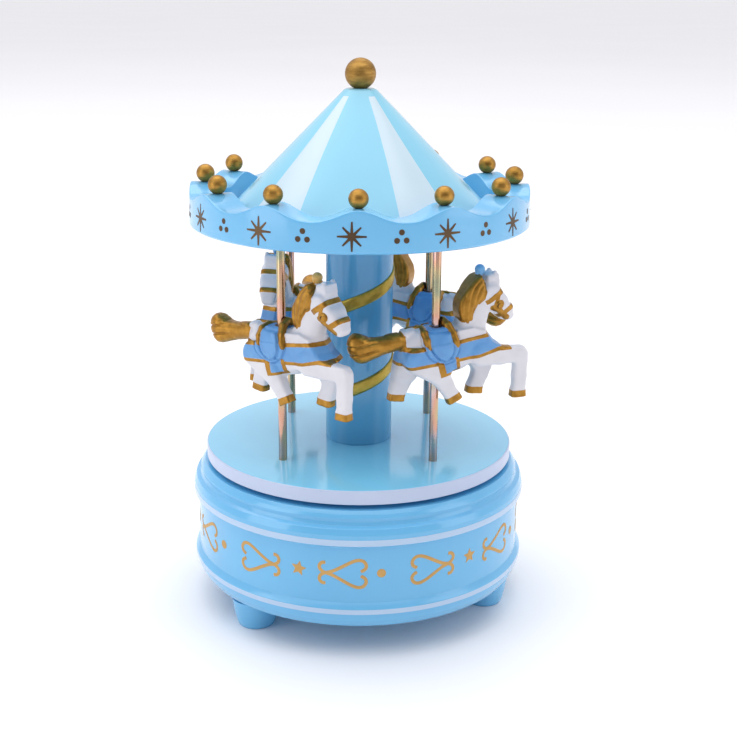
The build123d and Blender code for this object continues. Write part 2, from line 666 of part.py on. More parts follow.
def finial_ball():
    ball = Pos(0, 0, FINIAL_Z) * Sphere(FINIAL_R)
    ball -= block((-6, -6, FINIAL_Z - 6), (6, 6, ROOF_TOP))
    return ball + disc(1.5, ROOF_TOP - 2.2, FINIAL_Z)


# ---------------------------------------------------------------- horses

def oval(u, h, half_v, half_h):
    """An oval section facing along u."""
    return Plane(origin=(u, 0, h), x_dir=(0, 1, 0), z_dir=(1, 0, 0)) * Ellipse(half_v, half_h)


def limb(stations):
    """Tapered round bars between stations, with a slightly larger ball at each joint."""
    solids = [Pos(*stations[0][:3]) * Sphere(stations[0][3])]
    for (*near, near_r), (*far, far_r) in zip(stations, stations[1:]):
        way = Vector(*far) - Vector(*near)
        along = Plane(origin=Vector(*near), z_dir=way.normalized())
        solids.append(Solid.make_cone(near_r * 0.9, far_r * 0.9, way.length, along))
        solids.append(Pos(*far) * Sphere(far_r))
    return solids


def horse_shape():
    """A galloping horse: trunk, neck, head, four legs, tail and saddle."""
    body = loft([oval(*section) for section in HORSE_TRUNK])
    for stations in HORSE_LIMBS.values():
        for solid in limb(stations):
            body += solid
    return body + block(*HORSE_SADDLE) - disc(POLE_R + HORSE_BORE_GAP, 20.0, 60.0)


def horse(index, shape):
    """One horse on its pole."""
    angle = 45 + 90 * index
    x, y, _ = around(POLE_RING, angle)
    return Pos(x, y, DECK_TOP) * Rot(0, 0, angle + HORSE_YAW[index + 1]) * shape


# ---------------------------------------------------------------- all pieces

def pieces():
    found = {
        "base_housing": base_housing(),
        "bottom_cover": bottom_cover(),
        "cover_screws": cover_screws(),
        "bedplate": bedplate(),
        "movement_screws": movement_screws(),
        "bracket_screws": bracket_screws(),
        "inner_bearing": inner_bearing(),
        "outer_bearing": outer_bearing(),
        "governor_bracket": governor_bracket(),
        "comb": comb(),
        "comb_screws": comb_screws(),
        "click_spring": click_spring(),
        "top_bush": top_bush(),
        "arbor_bush": arbor_bush(),
        "winding_key": winding_key(),
        "winding_arbor": winding_arbor(),
        "ratchet_wheel": ratchet_wheel(),
        "spring_barrel": spring_barrel(),
        "barrel_cover": barrel_cover(),
        "mainspring": mainspring(),
        "drive_spindle": drive_spindle(),
        "music_cylinder": music_cylinder(),
        "cylinder_shaft": cylinder_shaft(),
        "cylinder_pinion": cylinder_pinion(),
        "cylinder_gear": cylinder_gear(),
        "governor_wheel": governor_wheel(),
        "governor_worm": governor_worm(),
        "governor_fan": governor_fan(),
        "deck_hub": deck_hub(),
        "deck": deck(),
        "column": column(),
        "column_screws": column_screws(),
        "canopy_plate": canopy_plate(),
        "canopy_ring": canopy_ring(),
        "canopy_roof": canopy_roof(),
        "finial_ball": finial_ball(),
    }
    for name, angle in FOOT_ANGLES.items():
        found[name] = foot(angle)
    shape = horse_shape()
    for index in range(POLE_COUNT):
        found[f"pole_{index + 1}"] = pole(index)
        found[f"horse_{index + 1}"] = horse(index, shape)
    for index in range(SCALLOPS):
        found[f"rim_ball_{index + 1:02d}"] = rim_ball(index)
    return found


os.makedirs("parts", exist_ok=True)
for name, solid in pieces().items():
    export_step(solid, f"parts/{name}.step")
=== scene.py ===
import json
import math

import bpy
import numpy as np
import openvdb
from mathutils import Matrix, Vector


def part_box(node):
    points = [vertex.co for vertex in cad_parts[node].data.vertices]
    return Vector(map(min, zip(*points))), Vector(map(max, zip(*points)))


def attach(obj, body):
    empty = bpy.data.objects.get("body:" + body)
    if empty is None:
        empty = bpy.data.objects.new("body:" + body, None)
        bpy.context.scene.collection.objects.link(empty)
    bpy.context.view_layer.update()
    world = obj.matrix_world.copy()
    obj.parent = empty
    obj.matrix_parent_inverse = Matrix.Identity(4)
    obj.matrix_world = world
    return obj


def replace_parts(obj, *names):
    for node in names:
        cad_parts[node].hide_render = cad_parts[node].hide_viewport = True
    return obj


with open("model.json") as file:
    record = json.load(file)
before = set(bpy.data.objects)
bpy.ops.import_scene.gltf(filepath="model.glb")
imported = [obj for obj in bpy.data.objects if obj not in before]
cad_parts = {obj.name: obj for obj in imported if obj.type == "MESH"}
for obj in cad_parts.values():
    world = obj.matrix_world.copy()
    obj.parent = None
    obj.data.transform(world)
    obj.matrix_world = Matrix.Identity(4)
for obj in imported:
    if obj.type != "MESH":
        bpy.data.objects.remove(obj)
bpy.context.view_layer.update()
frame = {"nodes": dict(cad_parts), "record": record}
MM = 0.001

# ---------------------------------------------------------------- places read from the frame, in mm


def low(node, axis):
    """The lower side of a node's box along an axis."""
    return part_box(node)[0][axis] / MM


def high(node, axis):
    """The upper side of a node's box along an axis."""
    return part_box(node)[1][axis] / MM


def middle(node, axis):
    """The middle of a node's box along an axis."""
    return (low(node, axis) + high(node, axis)) / 2


DECK_R = high("deck", 0)
DECK_TOP = high("deck", 2)
DECK_BOTTOM = low("deck", 2)
HUB_TOP = 53.2
COLUMN_R = high("column", 0)
CANOPY_BOTTOM = low("canopy_ring", 2)
RING_CREST = high("canopy_ring", 2)
RING_R = high("canopy_ring", 0)
ROOF_TOP = high("canopy_roof", 2)
BASE_BOTTOM = low("base_housing", 2)
BASE_TOP = high("base_housing", 2)
POLE_R = (high("pole_1", 0) - low("pole_1", 0)) / 2
POLE_RING = math.hypot(middle("pole_1", 0), middle("pole_1", 1))
BALL_R = (high("rim_ball_01", 0) - low("rim_ball_01", 0)) / 2
BALL_RING = -middle("rim_ball_01", 1)
BALL_Z = high("rim_ball_01", 2) - BALL_R
FINIAL_R = (high("finial_ball", 0) - low("finial_ball", 0)) / 2
FINIAL_Z = high("finial_ball", 2) - FINIAL_R

# The base's printed band
BAND_R = 54.1
FRIEZE_Z = 28.5
FRIEZE_REPEATS = 6

# Foil and print stand this far above a wall, and reach this far into it
PRINT_LIFT = 0.06
FOIL_LIFT = 0.05
PRINT_SINK = -0.02

# The canopy's scalloped ring; the ceiling plate's top is level with the ledge inside it
SCALLOPS = 12
SCALLOP_ANGLE = 360.0 / SCALLOPS
RING_TOP_R = 54.2
RING_WALL_R = 44.6
RING_TROUGH = 136.4
RING_STEP_Z = 129.1

# How far each horse is turned on its pole, anticlockwise from the way the deck turns
HORSE_YAW = {1: -25.0, 2: 20.7, 3: 31.2, 4: 8.2}


# ---------------------------------------------------------------- mesh helpers


def linked(name, data):
    """A new object in the scene."""
    made = bpy.data.objects.new(name, data)
    bpy.context.scene.collection.objects.link(made)
    return made


def add_mesh(name, points, faces, body, material, smooth=35.0):
    """A mesh piece from points in mm, riding on a body."""
    mesh = bpy.data.meshes.new(name)
    mesh.from_pydata([tuple(c * MM for c in p) for p in points], [], faces)
    mesh.update()
    mesh.validate()
    mesh.shade_smooth()
    if smooth:
        mesh.set_sharp_from_angle(angle=math.radians(smooth))
    piece = linked(name, mesh)
    mesh.materials.append(material)
    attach(piece, body)
    return piece


def rounded(outline, steps=6):
    """An outline of (r, z) points, where a third number rounds that corner by an arc of that radius."""
    count = len(outline)
    result = []
    for index, point in enumerate(outline):
        here = Vector(point[:2])
        if len(point) < 3 or not point[2]:
            result.append((here.x, here.y))
            continue
        back = Vector(outline[index - 1][:2]) - here
        on = Vector(outline[(index + 1) % count][:2]) - here
        half = back.angle(on) / 2
        reach = min(point[2] / math.tan(half), back.length * 0.48, on.length * 0.48)
        start = here + back.normalized() * reach
        end = here + on.normalized() * reach
        for step in range(steps + 1):
            t = step / steps
            curve = start * (1 - t) ** 2 + here * (2 * t * (1 - t)) + end * t * t
            result.append((curve.x, curve.y))
    return result


def lathe(name, outline, body, material, segments=256, centre=(0.0, 0.0), smooth=35.0):
    """A closed solid turned from (r, z) points round the section; r of 0 is on the axis."""
    points = []
    rings = []
    for r, z in outline:
        if r < 1e-6:
            rings.append([len(points)])
            points.append((centre[0], centre[1], z))
            continue
        rings.append(list(range(len(points), len(points) + segments)))
        for step in range(segments):
            turn = 2 * math.pi * step / segments
            points.append((centre[0] + r * math.cos(turn), centre[1] + r * math.sin(turn), z))
    faces = []
    for index, ring in enumerate(rings):
        after = rings[(index + 1) % len(rings)]
        if len(ring) == 1 and len(after) == 1:
            continue
        for step in range(segments):
            following = (step + 1) % segments
            if len(ring) == 1:
                faces.append((ring[0], after[following], after[step]))
            elif len(after) == 1:
                faces.append((ring[step], ring[following], after[0]))
            else:
                faces.append((ring[step], ring[following], after[following], after[step]))
    return add_mesh(name, points, faces, body, material, smooth)


def around(radius, angle, z=0.0):
    """A point at this radius and this angle, in degrees from the front towards the right."""
    turn = math.radians(angle)
    return (radius * math.sin(turn), -radius * math.cos(turn), z)


def wrapped_plate(outlines, radius_at, centre_angle, centre_z, radius, lift):
    """Flat shapes, each a closed list of (across, up) in mm, laid on a wall of revolution as thin foil."""
    points = []
    faces = []
    for outline in outlines:
        count = len(outline)
        first = len(points)
        for depth in (lift, PRINT_SINK):
            for across, up in outline:
                angle = centre_angle + math.degrees(across / radius)
                z = centre_z + up
                points.append(around(radius_at(z) + depth, angle, z))
        faces.append(tuple(range(first, first + count)))
        faces.append(tuple(range(first + 2 * count - 1, first + count - 1, -1)))
        for step in range(count):
            after = (step + 1) % count
            faces.append((first + step, first + count + step, first + count + after, first + after))
    return points, faces


def joined(parts):
    """One list of points and faces from several."""
    points = []
    faces = []
    for more_points, more_faces in parts:
        shift = len(points)
        points += more_points
        faces += [tuple(i + shift for i in face) for face in more_faces]
    return points, faces


# ---------------------------------------------------------------- materials


class Look:
    """A material with its main shader and a short way to add nodes."""

    def __init__(self, name, **settings):
        self.material = bpy.data.materials.new(name)
        self.material.use_nodes = True
        self.tree = self.material.node_tree
        self.shader = self.tree.nodes["Principled BSDF"]
        for key, value in settings.items():
            self.shader.inputs[key.replace("_", " ")].default_value = value
        self.coords = self.node("ShaderNodeTexCoord").outputs["Object"]

    def node(self, kind, **values):
        made = self.tree.nodes.new(kind)
        for key, value in values.items():
            setattr(made, key, value)
        return made

    def link(self, source, target):
        self.tree.links.new(source, target)

    def noise(self, scale, detail=3.0, stretch=None):
        """Noise over the surface; scale is features per metre."""
        source = self.coords
        if stretch:
            mapping = self.node("ShaderNodeMapping")
            mapping.inputs["Scale"].default_value = stretch
            self.link(self.coords, mapping.inputs["Vector"])
            source = mapping.outputs["Vector"]
        made = self.node("ShaderNodeTexNoise")
        made.inputs["Scale"].default_value = scale
        made.inputs["Detail"].default_value = detail
        self.link(source, made.inputs["Vector"])
        return made.outputs["Fac"]

    def ramp(self, source, stops):
        """Colours spread over a value, as (place, colour) stops."""
        made = self.node("ShaderNodeValToRGB")
        elements = made.color_ramp.elements
        while len(elements) < len(stops):
            elements.new(0.5)
        for element, (place, colour) in zip(elements, stops):
            element.position = place
            element.color = (*colour, 1.0) if len(colour) == 3 else colour
        self.link(source, made.inputs["Fac"])
        return made.outputs["Color"]

    def spread(self, source, start, end, into):
        """Maps 0.3 to 0.7 of a noise onto start to end of a shader input."""
        made = self.node("ShaderNodeMapRange")
        made.inputs["From Min"].default_value = 0.3
        made.inputs["From Max"].default_value = 0.7
        made.inputs["To Min"].default_value = start
        made.inputs["To Max"].default_value = end
        self.link(source, made.inputs["Value"])
        self.link(made.outputs["Result"], self.shader.inputs[into])

    def bump(self, source, strength, distance):
        """Fine relief on the surface from a value."""
        made = self.node("ShaderNodeBump")
        made.inputs["Strength"].default_value = strength
        made.inputs["Distance"].default_value = distance
        self.link(source, made.inputs["Height"])
        self.link(made.outputs["Normal"], self.shader.inputs["Normal"])

    def colour(self, source):
        self.link(source, self.shader.inputs["Base Color"])


def plastic(name, dark, light, rough=(0.16, 0.26), coat=0.25):
    """Glossy moulded plastic: slow colour drift, uneven gloss and a faint moulded skin."""
    look = Look(name, Coat_Weight=coat, Coat_Roughness=0.08)
    look.colour(look.ramp(look.noise(28.0, 2.0), [(0.3, dark), (0.7, light)]))
    look.spread(look.noise(160.0, 4.0), rough[0], rough[1], "Roughness")
    look.bump(look.noise(420.0, 3.0), 0.06, 0.0004)
    return look.material


def metal(name, dark, light, rough=(0.2, 0.4), grain=None, scale=300.0, strength=0.1, metallic=1.0):
    """Metal or foil: mottled colour, uneven roughness and a fine grain, which can be stretched."""
    look = Look(name, Metallic=metallic)
    look.colour(look.ramp(look.noise(scale * 0.4, 3.0, grain), [(0.25, dark), (0.75, light)]))
    look.spread(look.noise(scale, 4.0, grain), rough[0], rough[1], "Roughness")
    look.bump(look.noise(scale * 3, 3.0, grain), strength, 0.0002)
    return look.material


BLUE = plastic("blue_plastic", (0.135, 0.465, 0.775), (0.155, 0.50, 0.815), (0.13, 0.22), 0.5)
# Painted light: the blue plastic made lighter for the deck, because its upward face is lit from above
DECK_BLUE_PAINTED_LIGHT = plastic("deck_blue_painted_light", (0.23, 0.66, 0.92), (0.25, 0.69, 0.94), (0.10, 0.18), 0.6)
# Painted light: the blue plastic made lighter for the roof cone, because its upward face is lit from above
ROOF_BLUE_PAINTED_LIGHT = plastic("roof_blue_painted_light", (0.23, 0.59, 0.78), (0.26, 0.63, 0.81))
# Painted shade: the blue plastic made darker for the column, because it stands in the canopy's shade
COLUMN_BLUE_PAINTED_SHADE = plastic("column_blue_painted_shade", (0.085, 0.345, 0.60), (0.105, 0.385, 0.64))
WHITE = plastic("white_paint", (0.50, 0.58, 0.76), (0.54, 0.62, 0.79), (0.3, 0.42), 0.1)
PALE = plastic("pale_plastic", (0.56, 0.71, 0.80), (0.60, 0.75, 0.83))
TRIM = plastic("pinstripe_paint", (0.44, 0.60, 0.80), (0.48, 0.64, 0.83))
GOLD = metal("gold_plating", (0.30, 0.155, 0.03), (0.52, 0.29, 0.07), (0.32, 0.5), (1, 1, 3), 700.0, 0.3)
BRUSHED_GOLD = metal(
    "brushed_gold", (0.24, 0.125, 0.03), (0.56, 0.33, 0.09), (0.34, 0.56), (1, 1, 4), 620.0, 0.5)
BRONZE_FOIL = metal("bronze_foil", (0.075, 0.042, 0.02), (0.13, 0.075, 0.03), (0.34, 0.46), metallic=0.5)
GOLD_INK = metal("gold_ink", (0.54, 0.31, 0.09), (0.64, 0.38, 0.12), (0.45, 0.6), metallic=0.25)
RIBBON_GOLD = metal(
    "ribbon_gold", (0.34, 0.24, 0.04), (0.50, 0.37, 0.08), (0.3, 0.5), scale=900.0, strength=0.35)
STEEL = metal("steel", (0.50, 0.50, 0.52), (0.66, 0.66, 0.68), (0.22, 0.4), (1, 1, 6))
ZINC = metal("zinc_casting", (0.42, 0.42, 0.43), (0.55, 0.55, 0.56), (0.4, 0.6))
BRASS = metal("brass", (0.66, 0.46, 0.17), (0.78, 0.58, 0.26), (0.2, 0.35))
NYLON = plastic("nylon", (0.74, 0.72, 0.64), (0.80, 0.78, 0.71), (0.4, 0.5), 0.0)


def zinc_plating():
    """Yellow zinc passivate: pink, green and gold drift along the rod."""
    look = Look("zinc_plating", Metallic=1.0)
    tone = look.noise(95.0, 2.5, (1.0, 1.0, 0.55))
    look.colour(look.ramp(tone, [
        (0.30, (0.20, 0.30, 0.24)), (0.42, (0.52, 0.42, 0.24)), (0.52, (0.62, 0.34, 0.24)),
        (0.62, (0.58, 0.42, 0.40)), (0.74, (0.40, 0.42, 0.34)),
    ]))
    look.spread(look.noise(500.0, 3.0, (1, 1, 0.2)), 0.14, 0.3, "Roughness")
    look.bump(look.noise(900.0, 2.0, (1, 1, 0.1)), 0.08, 0.0002)
    return look.material


RAINBOW_ZINC = zinc_plating()


# ---------------------------------------------------------------- base


def base_shell():
    """The hollow housing: foot moulding, printed band, bulge and lip under the deck."""
    outline = rounded([
        (49.9, BASE_BOTTOM), (50.5, BASE_BOTTOM, 0.3), (53.2, 10.4, 1.2), (54.7, 12.9, 1.6),
        (55.5, 15.2, 0.3), (55.55, 17.3, 0.5), (54.7, 18.3, 0.5), (BAND_R, 18.9, 0.3),
        (BAND_R, 37.2, 0.25), (55.3, 37.9, 0.3), (55.5, 40.2, 0.3), (55.45, 41.5, 1.2),
        (54.7, 43.4, 0.5), (53.4, 43.9, 0.4), (52.9, 45.0, 0.4), (53.15, 46.2, 0.5),
        (52.5, 47.2, 0.6), (51.6, BASE_TOP, 0.4), (4.1, BASE_TOP), (4.1, 45.8), (51.5, 45.8),
        (51.5, 14.0), (49.9, 12.4),
    ])
    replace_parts(lathe("base_shell", outline, "base", BLUE), "base_housing")


def pinstripe(name, bottom, top, radius):
    """A pale painted ring round the base."""
    outline = rounded([
        (radius - 0.3, bottom), (radius, bottom, 0.12), (radius, top, 0.12), (radius - 0.3, top),
    ], 3)
    return lathe(name, outline, "base", TRIM)


def feet():
    """Three tapered feet, each with a peg up into the cover."""
    for name in ("foot_left", "foot_right", "foot_rear"):
        centre = (middle(name, 0), middle(name, 1))
        outline = rounded([
            (0, 0.0), (5.8, 0.0, 0.5), (6.3, 1.2, 0.6), (7.2, 5.0, 1.5), (7.95, 9.6), (2.5, 9.6),
            (2.5, 11.8), (0, 11.8),
        ])
        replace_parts(lathe(name + "_shell", outline, "base", BLUE, 96, centre), name)


def stroke(path, width):
    """The edges of an open stroke that narrows at its ends, from a path of (across, up)."""
    count = len(path)
    left = []
    right = []
    for index, point in enumerate(path):
        before = Vector(path[max(index - 1, 0)])
        after = Vector(path[min(index + 1, count - 1)])
        along = (after - before).normalized()
        side = Vector((-along.y, along.x)) * width / 2
        end_fade = 0.75 if index in (0, count - 1) else 1.0
        left.append(Vector(point) + side * end_fade)
        right.append(Vector(point) - side * end_fade)
    return left, right


def smooth_path(points, steps=8):
    """Catmull-Rom points through a short given list."""
    ends = [points[0], *points, points[-1]]
    path = []
    for index in range(1, len(ends) - 2):
        p0, p1, p2, p3 = (Vector(ends[index + shift]) for shift in (-1, 0, 1, 2))
        for step in range(steps):
            t = step / steps
            path.append(0.5 * (2 * p1 + (p2 - p0) * t + (2 * p0 - 5 * p1 + 4 * p2 - p3) * t * t
                               + (3 * p1 - p0 - 3 * p2 + p3) * t ** 3))
    path.append(Vector(points[-1]))
    return path


def wrapped_stroke(path, width, radius_at, centre_angle, centre_z, radius, lift):
    """A painted line on a wall of revolution, as a thin strip of quads."""
    left, right = stroke(path, width)
    points = []
    faces = []
    for a, b in zip(left, right):
        for depth in (lift, PRINT_SINK):
            for spot in (a, b):
                z = centre_z + spot.y
                points.append(around(radius_at(z) + depth, centre_angle + math.degrees(spot.x / radius), z))
    for index in range(len(left) - 1):
        a = index * 4
        b = a + 4
        faces += [
            (a, b, b + 1, a + 1), (a + 2, a + 3, b + 3, b + 2), (a, a + 2, b + 2, b),
            (a + 1, b + 1, b + 3, a + 3),
        ]
    last = (len(left) - 1) * 4
    faces += [(0, 1, 3, 2), (last, last + 2, last + 3, last + 1)]
    return points, faces


def star_outline(points, outer, inner, turn=90.0):
    """A star with its points at one radius and its notches at another."""
    outline = []
    for index in range(points * 2):
        angle = math.radians(turn + 180.0 * index / points)
        reach = outer if index % 2 == 0 else inner
        outline.append((reach * math.cos(angle), reach * math.sin(angle)))
    return outline


def dot_outline(radius, x=0.0, y=0.0, steps=28):
    """A round spot."""
    return [
        (x + radius * math.cos(2 * math.pi * i / steps), y + radius * math.sin(2 * math.pi * i / steps))
        for i in range(steps)
    ]


def band_pattern():
    """A printed frieze: dot, heart scroll, star and mirrored heart scroll, six times round the band."""
    def wall(z):
        return BAND_R

    # One stroke of the heart: curl in the notch, round the lobe, down to the crossing and out to a hook
    upper = [
        (-5.6, 0.7), (-6.9, 1.6), (-7.2, 2.9), (-6.3, 4.2), (-4.6, 4.5), (-2.4, 3.7), (0.6, 2.0),
        (3.4, 0.55), (5.6, -0.1), (6.9, -1.0), (7.2, -2.3), (6.4, -3.3), (5.3, -3.4),
    ]
    lower = [(x, -y) for x, y in upper]
    hearts = []
    dots = []
    stars = []
    for unit in range(FRIEZE_REPEATS):
        start = 360.0 / FRIEZE_REPEATS * unit
        dots.append(wrapped_plate([dot_outline(1.4)], wall, start + 8.1, FRIEZE_Z + 0.1, BAND_R, PRINT_LIFT))
        # The stars are printed a little askew, each by its own angle
        star = star_outline(5, 2.6, 1.2, 90 + 11 * math.sin(unit * 2.1))
        stars.append(wrapped_plate([star], wall, start + 40.8, FRIEZE_Z + 0.4, BAND_R, PRINT_LIFT))
        for centre, mirror in ((26.0, 1), (55.5, -1)):
            for line in (upper, lower):
                path = smooth_path([(x * mirror, y) for x, y in line])
                hearts.append(wrapped_stroke(path, 1.05, wall, start + centre, FRIEZE_Z, BAND_R, PRINT_LIFT))
    for name, found in (("band_hearts", hearts), ("band_dots", dots), ("band_stars", stars)):
        points, faces = joined(found)
        add_mesh(name, points, faces, "base", GOLD_INK, 20)


# ---------------------------------------------------------------- deck and column


def deck_disc():
    """The turning disc, with its hub recess underneath, and the pale edge round it."""
    outline = rounded([
        (4.7, DECK_BOTTOM), (DECK_R - 0.45, DECK_BOTTOM), (DECK_R - 0.3, DECK_BOTTOM + 0.3),
        (DECK_R - 0.3, DECK_TOP - 0.5), (DECK_R - 0.45, DECK_TOP, 0.1), (0, DECK_TOP), (0, HUB_TOP),
        (4.7, HUB_TOP),
    ])
    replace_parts(lathe("deck_disc", outline, "carousel", DECK_BLUE_PAINTED_LIGHT), "deck")
    edge = rounded([
        (DECK_R - 0.32, DECK_BOTTOM + 0.05, 0.1), (DECK_R, DECK_BOTTOM + 0.25, 0.3),
        (DECK_R, DECK_TOP - 0.35, 0.4), (DECK_R - 0.42, DECK_TOP + 0.02, 0.15),
    ])
    lathe("deck_edge", edge, "carousel", WHITE)


def column_tube():
    """The hollow column, with a fine step where it meets the deck."""
    outline = rounded([
        (COLUMN_R - 2, DECK_TOP), (COLUMN_R - 0.25, DECK_TOP), (COLUMN_R - 0.25, DECK_TOP + 0.25, 0.1),
        (COLUMN_R, DECK_TOP + 0.45, 0.15), (COLUMN_R, CANOPY_BOTTOM), (COLUMN_R - 2, CANOPY_BOTTOM),
    ])
    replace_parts(lathe("column_tube", outline, "carousel", COLUMN_BLUE_PAINTED_SHADE, 160), "column")


def spiral_band():
    """A raised painted band that climbs the column to the right."""
    lead = 29.0
    width = 4.4
    start_h = 20.1
    first = -(start_h - width / 2 - 0.4) / lead
    last = (CANOPY_BOTTOM - DECK_TOP - start_h - width / 2 - 0.1) / lead
    steps = int((last - first) * 120)
    section = [
        (-0.5, -0.1), (-0.5, 0.10), (-0.44, 0.34), (-0.3, 0.44), (0.3, 0.44), (0.44, 0.34), (0.5, 0.10),
        (0.5, -0.1),
    ]
    points = []
    faces = []
    for step in range(steps + 1):
        turn = first + (last - first) * step / steps
        taper = min(1.0, step / 6, (steps - step) / 6)
        for across, lift in section:
            z = DECK_TOP + start_h + lead * turn + across * width * (0.55 + 0.45 * taper)
            points.append(around(COLUMN_R + lift * (0.5 + 0.5 * taper), 360 * turn, z))
    count = len(section)
    for step in range(steps):
        for side in range(count):
            after = (side + 1) % count
            a = step * count
            faces.append((a + side, a + after, a + count + after, a + count + side))
    faces.append(tuple(reversed(range(count))))
    faces.append(tuple(range(steps * count, steps * count + count)))
    add_mesh("spiral_band", points, faces, "carousel", RIBBON_GOLD, 50)


def poles():
    """Four plated rods from the deck to the ceiling."""
    for index in range(4):
        name = f"pole_{index + 1}"
        centre = (middle(name, 0), middle(name, 1))
        bottom = low(name, 2)
        top = high(name, 2)
        outline = rounded([(0, bottom), (POLE_R, bottom, 0.2), (POLE_R, top, 0.2), (0, top)], 3)
        rod = lathe(name + "_rod", outline, "carousel", RAINBOW_ZINC, 48, centre)
        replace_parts(rod, name)


# ---------------------------------------------------------------- canopy


def rim_height(angle):
    """The rim's top: round-nosed crests under the balls, wide arcs between."""
    half = SCALLOP_ANGLE / 2
    away = abs((angle + half) % SCALLOP_ANGLE - half)
    nose = 0.5 + 0.5 * math.cos(math.pi * min(1.0, away / half) ** 0.92)
    return RING_TROUGH + (RING_CREST - RING_TROUGH) * nose ** 1.15


def ring_wall(z):
    """Outer radius of the canopy ring at a height."""
    share = (z - CANOPY_BOTTOM) / (RING_CREST - CANOPY_BOTTOM)
    return RING_R + (RING_TOP_R - RING_R) * share


def canopy_rim():
    """The scalloped ring, whose section changes in height round it."""
    segments = 720
    points = []
    faces = []
    for step in range(segments):
        angle = 360.0 * step / segments
        top = rim_height(angle)
        section = rounded([
            (RING_WALL_R - 0.9, CANOPY_BOTTOM + 0.1), (RING_R - 1.0, CANOPY_BOTTOM, 0.3),
            (RING_R - 0.05, CANOPY_BOTTOM + 0.6, 0.9), (ring_wall(top - 1.0), top - 1.0),
            (ring_wall(top), top, 0.55), (RING_WALL_R, top, 0.35), (RING_WALL_R, RING_STEP_Z),
            (RING_WALL_R - 0.9, RING_STEP_Z),
        ], 5)
        count = len(section)
        points += [around(r, angle, z) for r, z in section]
    for step in range(segments):
        following = (step + 1) % segments
        for side in range(count):
            after = (side + 1) % count
            here, there = step * count, following * count
            faces.append((here + side, there + side, there + after, here + after))
    rim = add_mesh("canopy_rim", points, faces, "carousel", BLUE, 40)
    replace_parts(rim, "canopy_ring")


def ceiling():
    """The flat plate inside the ring."""
    outline = rounded([
        (4.0, CANOPY_BOTTOM + 0.02), (RING_WALL_R - 0.92, CANOPY_BOTTOM + 0.02),
        (RING_WALL_R - 0.92, RING_STEP_Z), (4.0, RING_STEP_Z),
    ])
    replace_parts(lathe("canopy_ceiling", outline, "carousel", BLUE), "canopy_plate")


# The roof's cone, as (radius, height) at its foot and shoulder, and its stripes in degrees
ROOF_FOOT = (44.3, 129.4)
ROOF_SHOULDER = (5.3, 169.0)
STRIPES = 5
STRIPE_ANGLE = 31.3
STRIPE_HALF = 14.8
STRIPE_TAPER = 4.2


def roof_radius(z):
    """Outer radius of the cone at a height."""
    share = (ROOF_SHOULDER[1] - z) / (ROOF_SHOULDER[1] - ROOF_FOOT[1])
    return ROOF_SHOULDER[0] + (ROOF_FOOT[0] - ROOF_SHOULDER[0]) * share


def roof():
    """The hollow cone and the pale stripes painted on it."""
    outline = rounded([
        (0, ROOF_TOP), (4.1, ROOF_TOP, 0.3), (5.1, ROOF_TOP - 0.35, 0.6), ROOF_FOOT,
        (ROOF_FOOT[0] - 2.6, ROOF_FOOT[1]), (3.0, ROOF_TOP - 3.0), (0, ROOF_TOP - 3.0),
    ])
    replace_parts(lathe("roof_cone", outline, "carousel", ROOF_BLUE_PAINTED_LIGHT), "canopy_roof")
    points = []
    faces = []
    rows = 24
    across = 12
    for stripe in range(STRIPES):
        first = len(points)
        centre = STRIPE_ANGLE + 360.0 / STRIPES * stripe
        for row in range(rows + 1):
            z = ROOF_FOOT[1] + 0.2 + (ROOF_SHOULDER[1] - 0.5 - ROOF_FOOT[1]) * row / rows
            share = row / rows
            start = centre - STRIPE_HALF + STRIPE_TAPER * share
            end = centre + STRIPE_HALF - STRIPE_TAPER * share
            for step in range(across + 1):
                lift = 0.05 if 0 < step < across and 0 < row < rows else -0.02
                points.append(around(roof_radius(z) + lift * 1.4, start + (end - start) * step / across, z))
        for row in range(rows):
            for step in range(across):
                a = first + row * (across + 1) + step
                faces.append((a, a + 1, a + across + 2, a + across + 1))
    add_mesh("roof_stripes", points, faces, "carousel", PALE, 60)


def ball(name, node, radius, ring, angle, z, flat_z, material):
    """A plated ball with a small flat underneath."""
    x, y, _ = around(ring, angle)
    flat_r = math.sqrt(radius * radius - (z - flat_z) ** 2)
    start = math.asin((flat_z - z) / radius)
    outline = [(0, flat_z)]
    for step in range(41):
        lift = start + (math.pi / 2 - start) * step / 40
        outline.append((max(radius * math.cos(lift), 0.0), z + radius * math.sin(lift)))
    # The flat's edge is drawn in a little, so that the ball closes on it with a soft corner
    outline[1] = (flat_r - 0.05, flat_z)
    outline[-1] = (0, z + radius)
    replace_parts(lathe(name, outline, "carousel", material, 96, (x, y), 40), node)


def balls():
    """A ball on each crest of the rim and a bigger one on the roof."""
    for index in range(SCALLOPS):
        ball(f"plated_ball_{index + 1:02d}", f"rim_ball_{index + 1:02d}", BALL_R, BALL_RING,
             SCALLOP_ANGLE * index, BALL_Z, RING_CREST, GOLD)
    ball("plated_finial", "finial_ball", FINIAL_R, 0.0, 0.0, FINIAL_Z, ROOF_TOP, BRUSHED_GOLD)


def rayed_star():
    """A foil star of eight blunt rays, the upright ones a little longer."""
    outline = []
    for ray in range(8):
        turn = math.radians(90 + 45 * ray)
        notch = math.radians(90 + 45 * ray + 22.5)
        reach = 4.25 if ray % 2 == 0 else 3.75
        for shift in (-0.24, 0.24):
            outline.append((reach * math.cos(turn) - shift * math.sin(turn),
                            reach * math.sin(turn) + shift * math.cos(turn)))
        outline.append((1.15 * math.cos(notch), 1.15 * math.sin(notch)))
    return outline


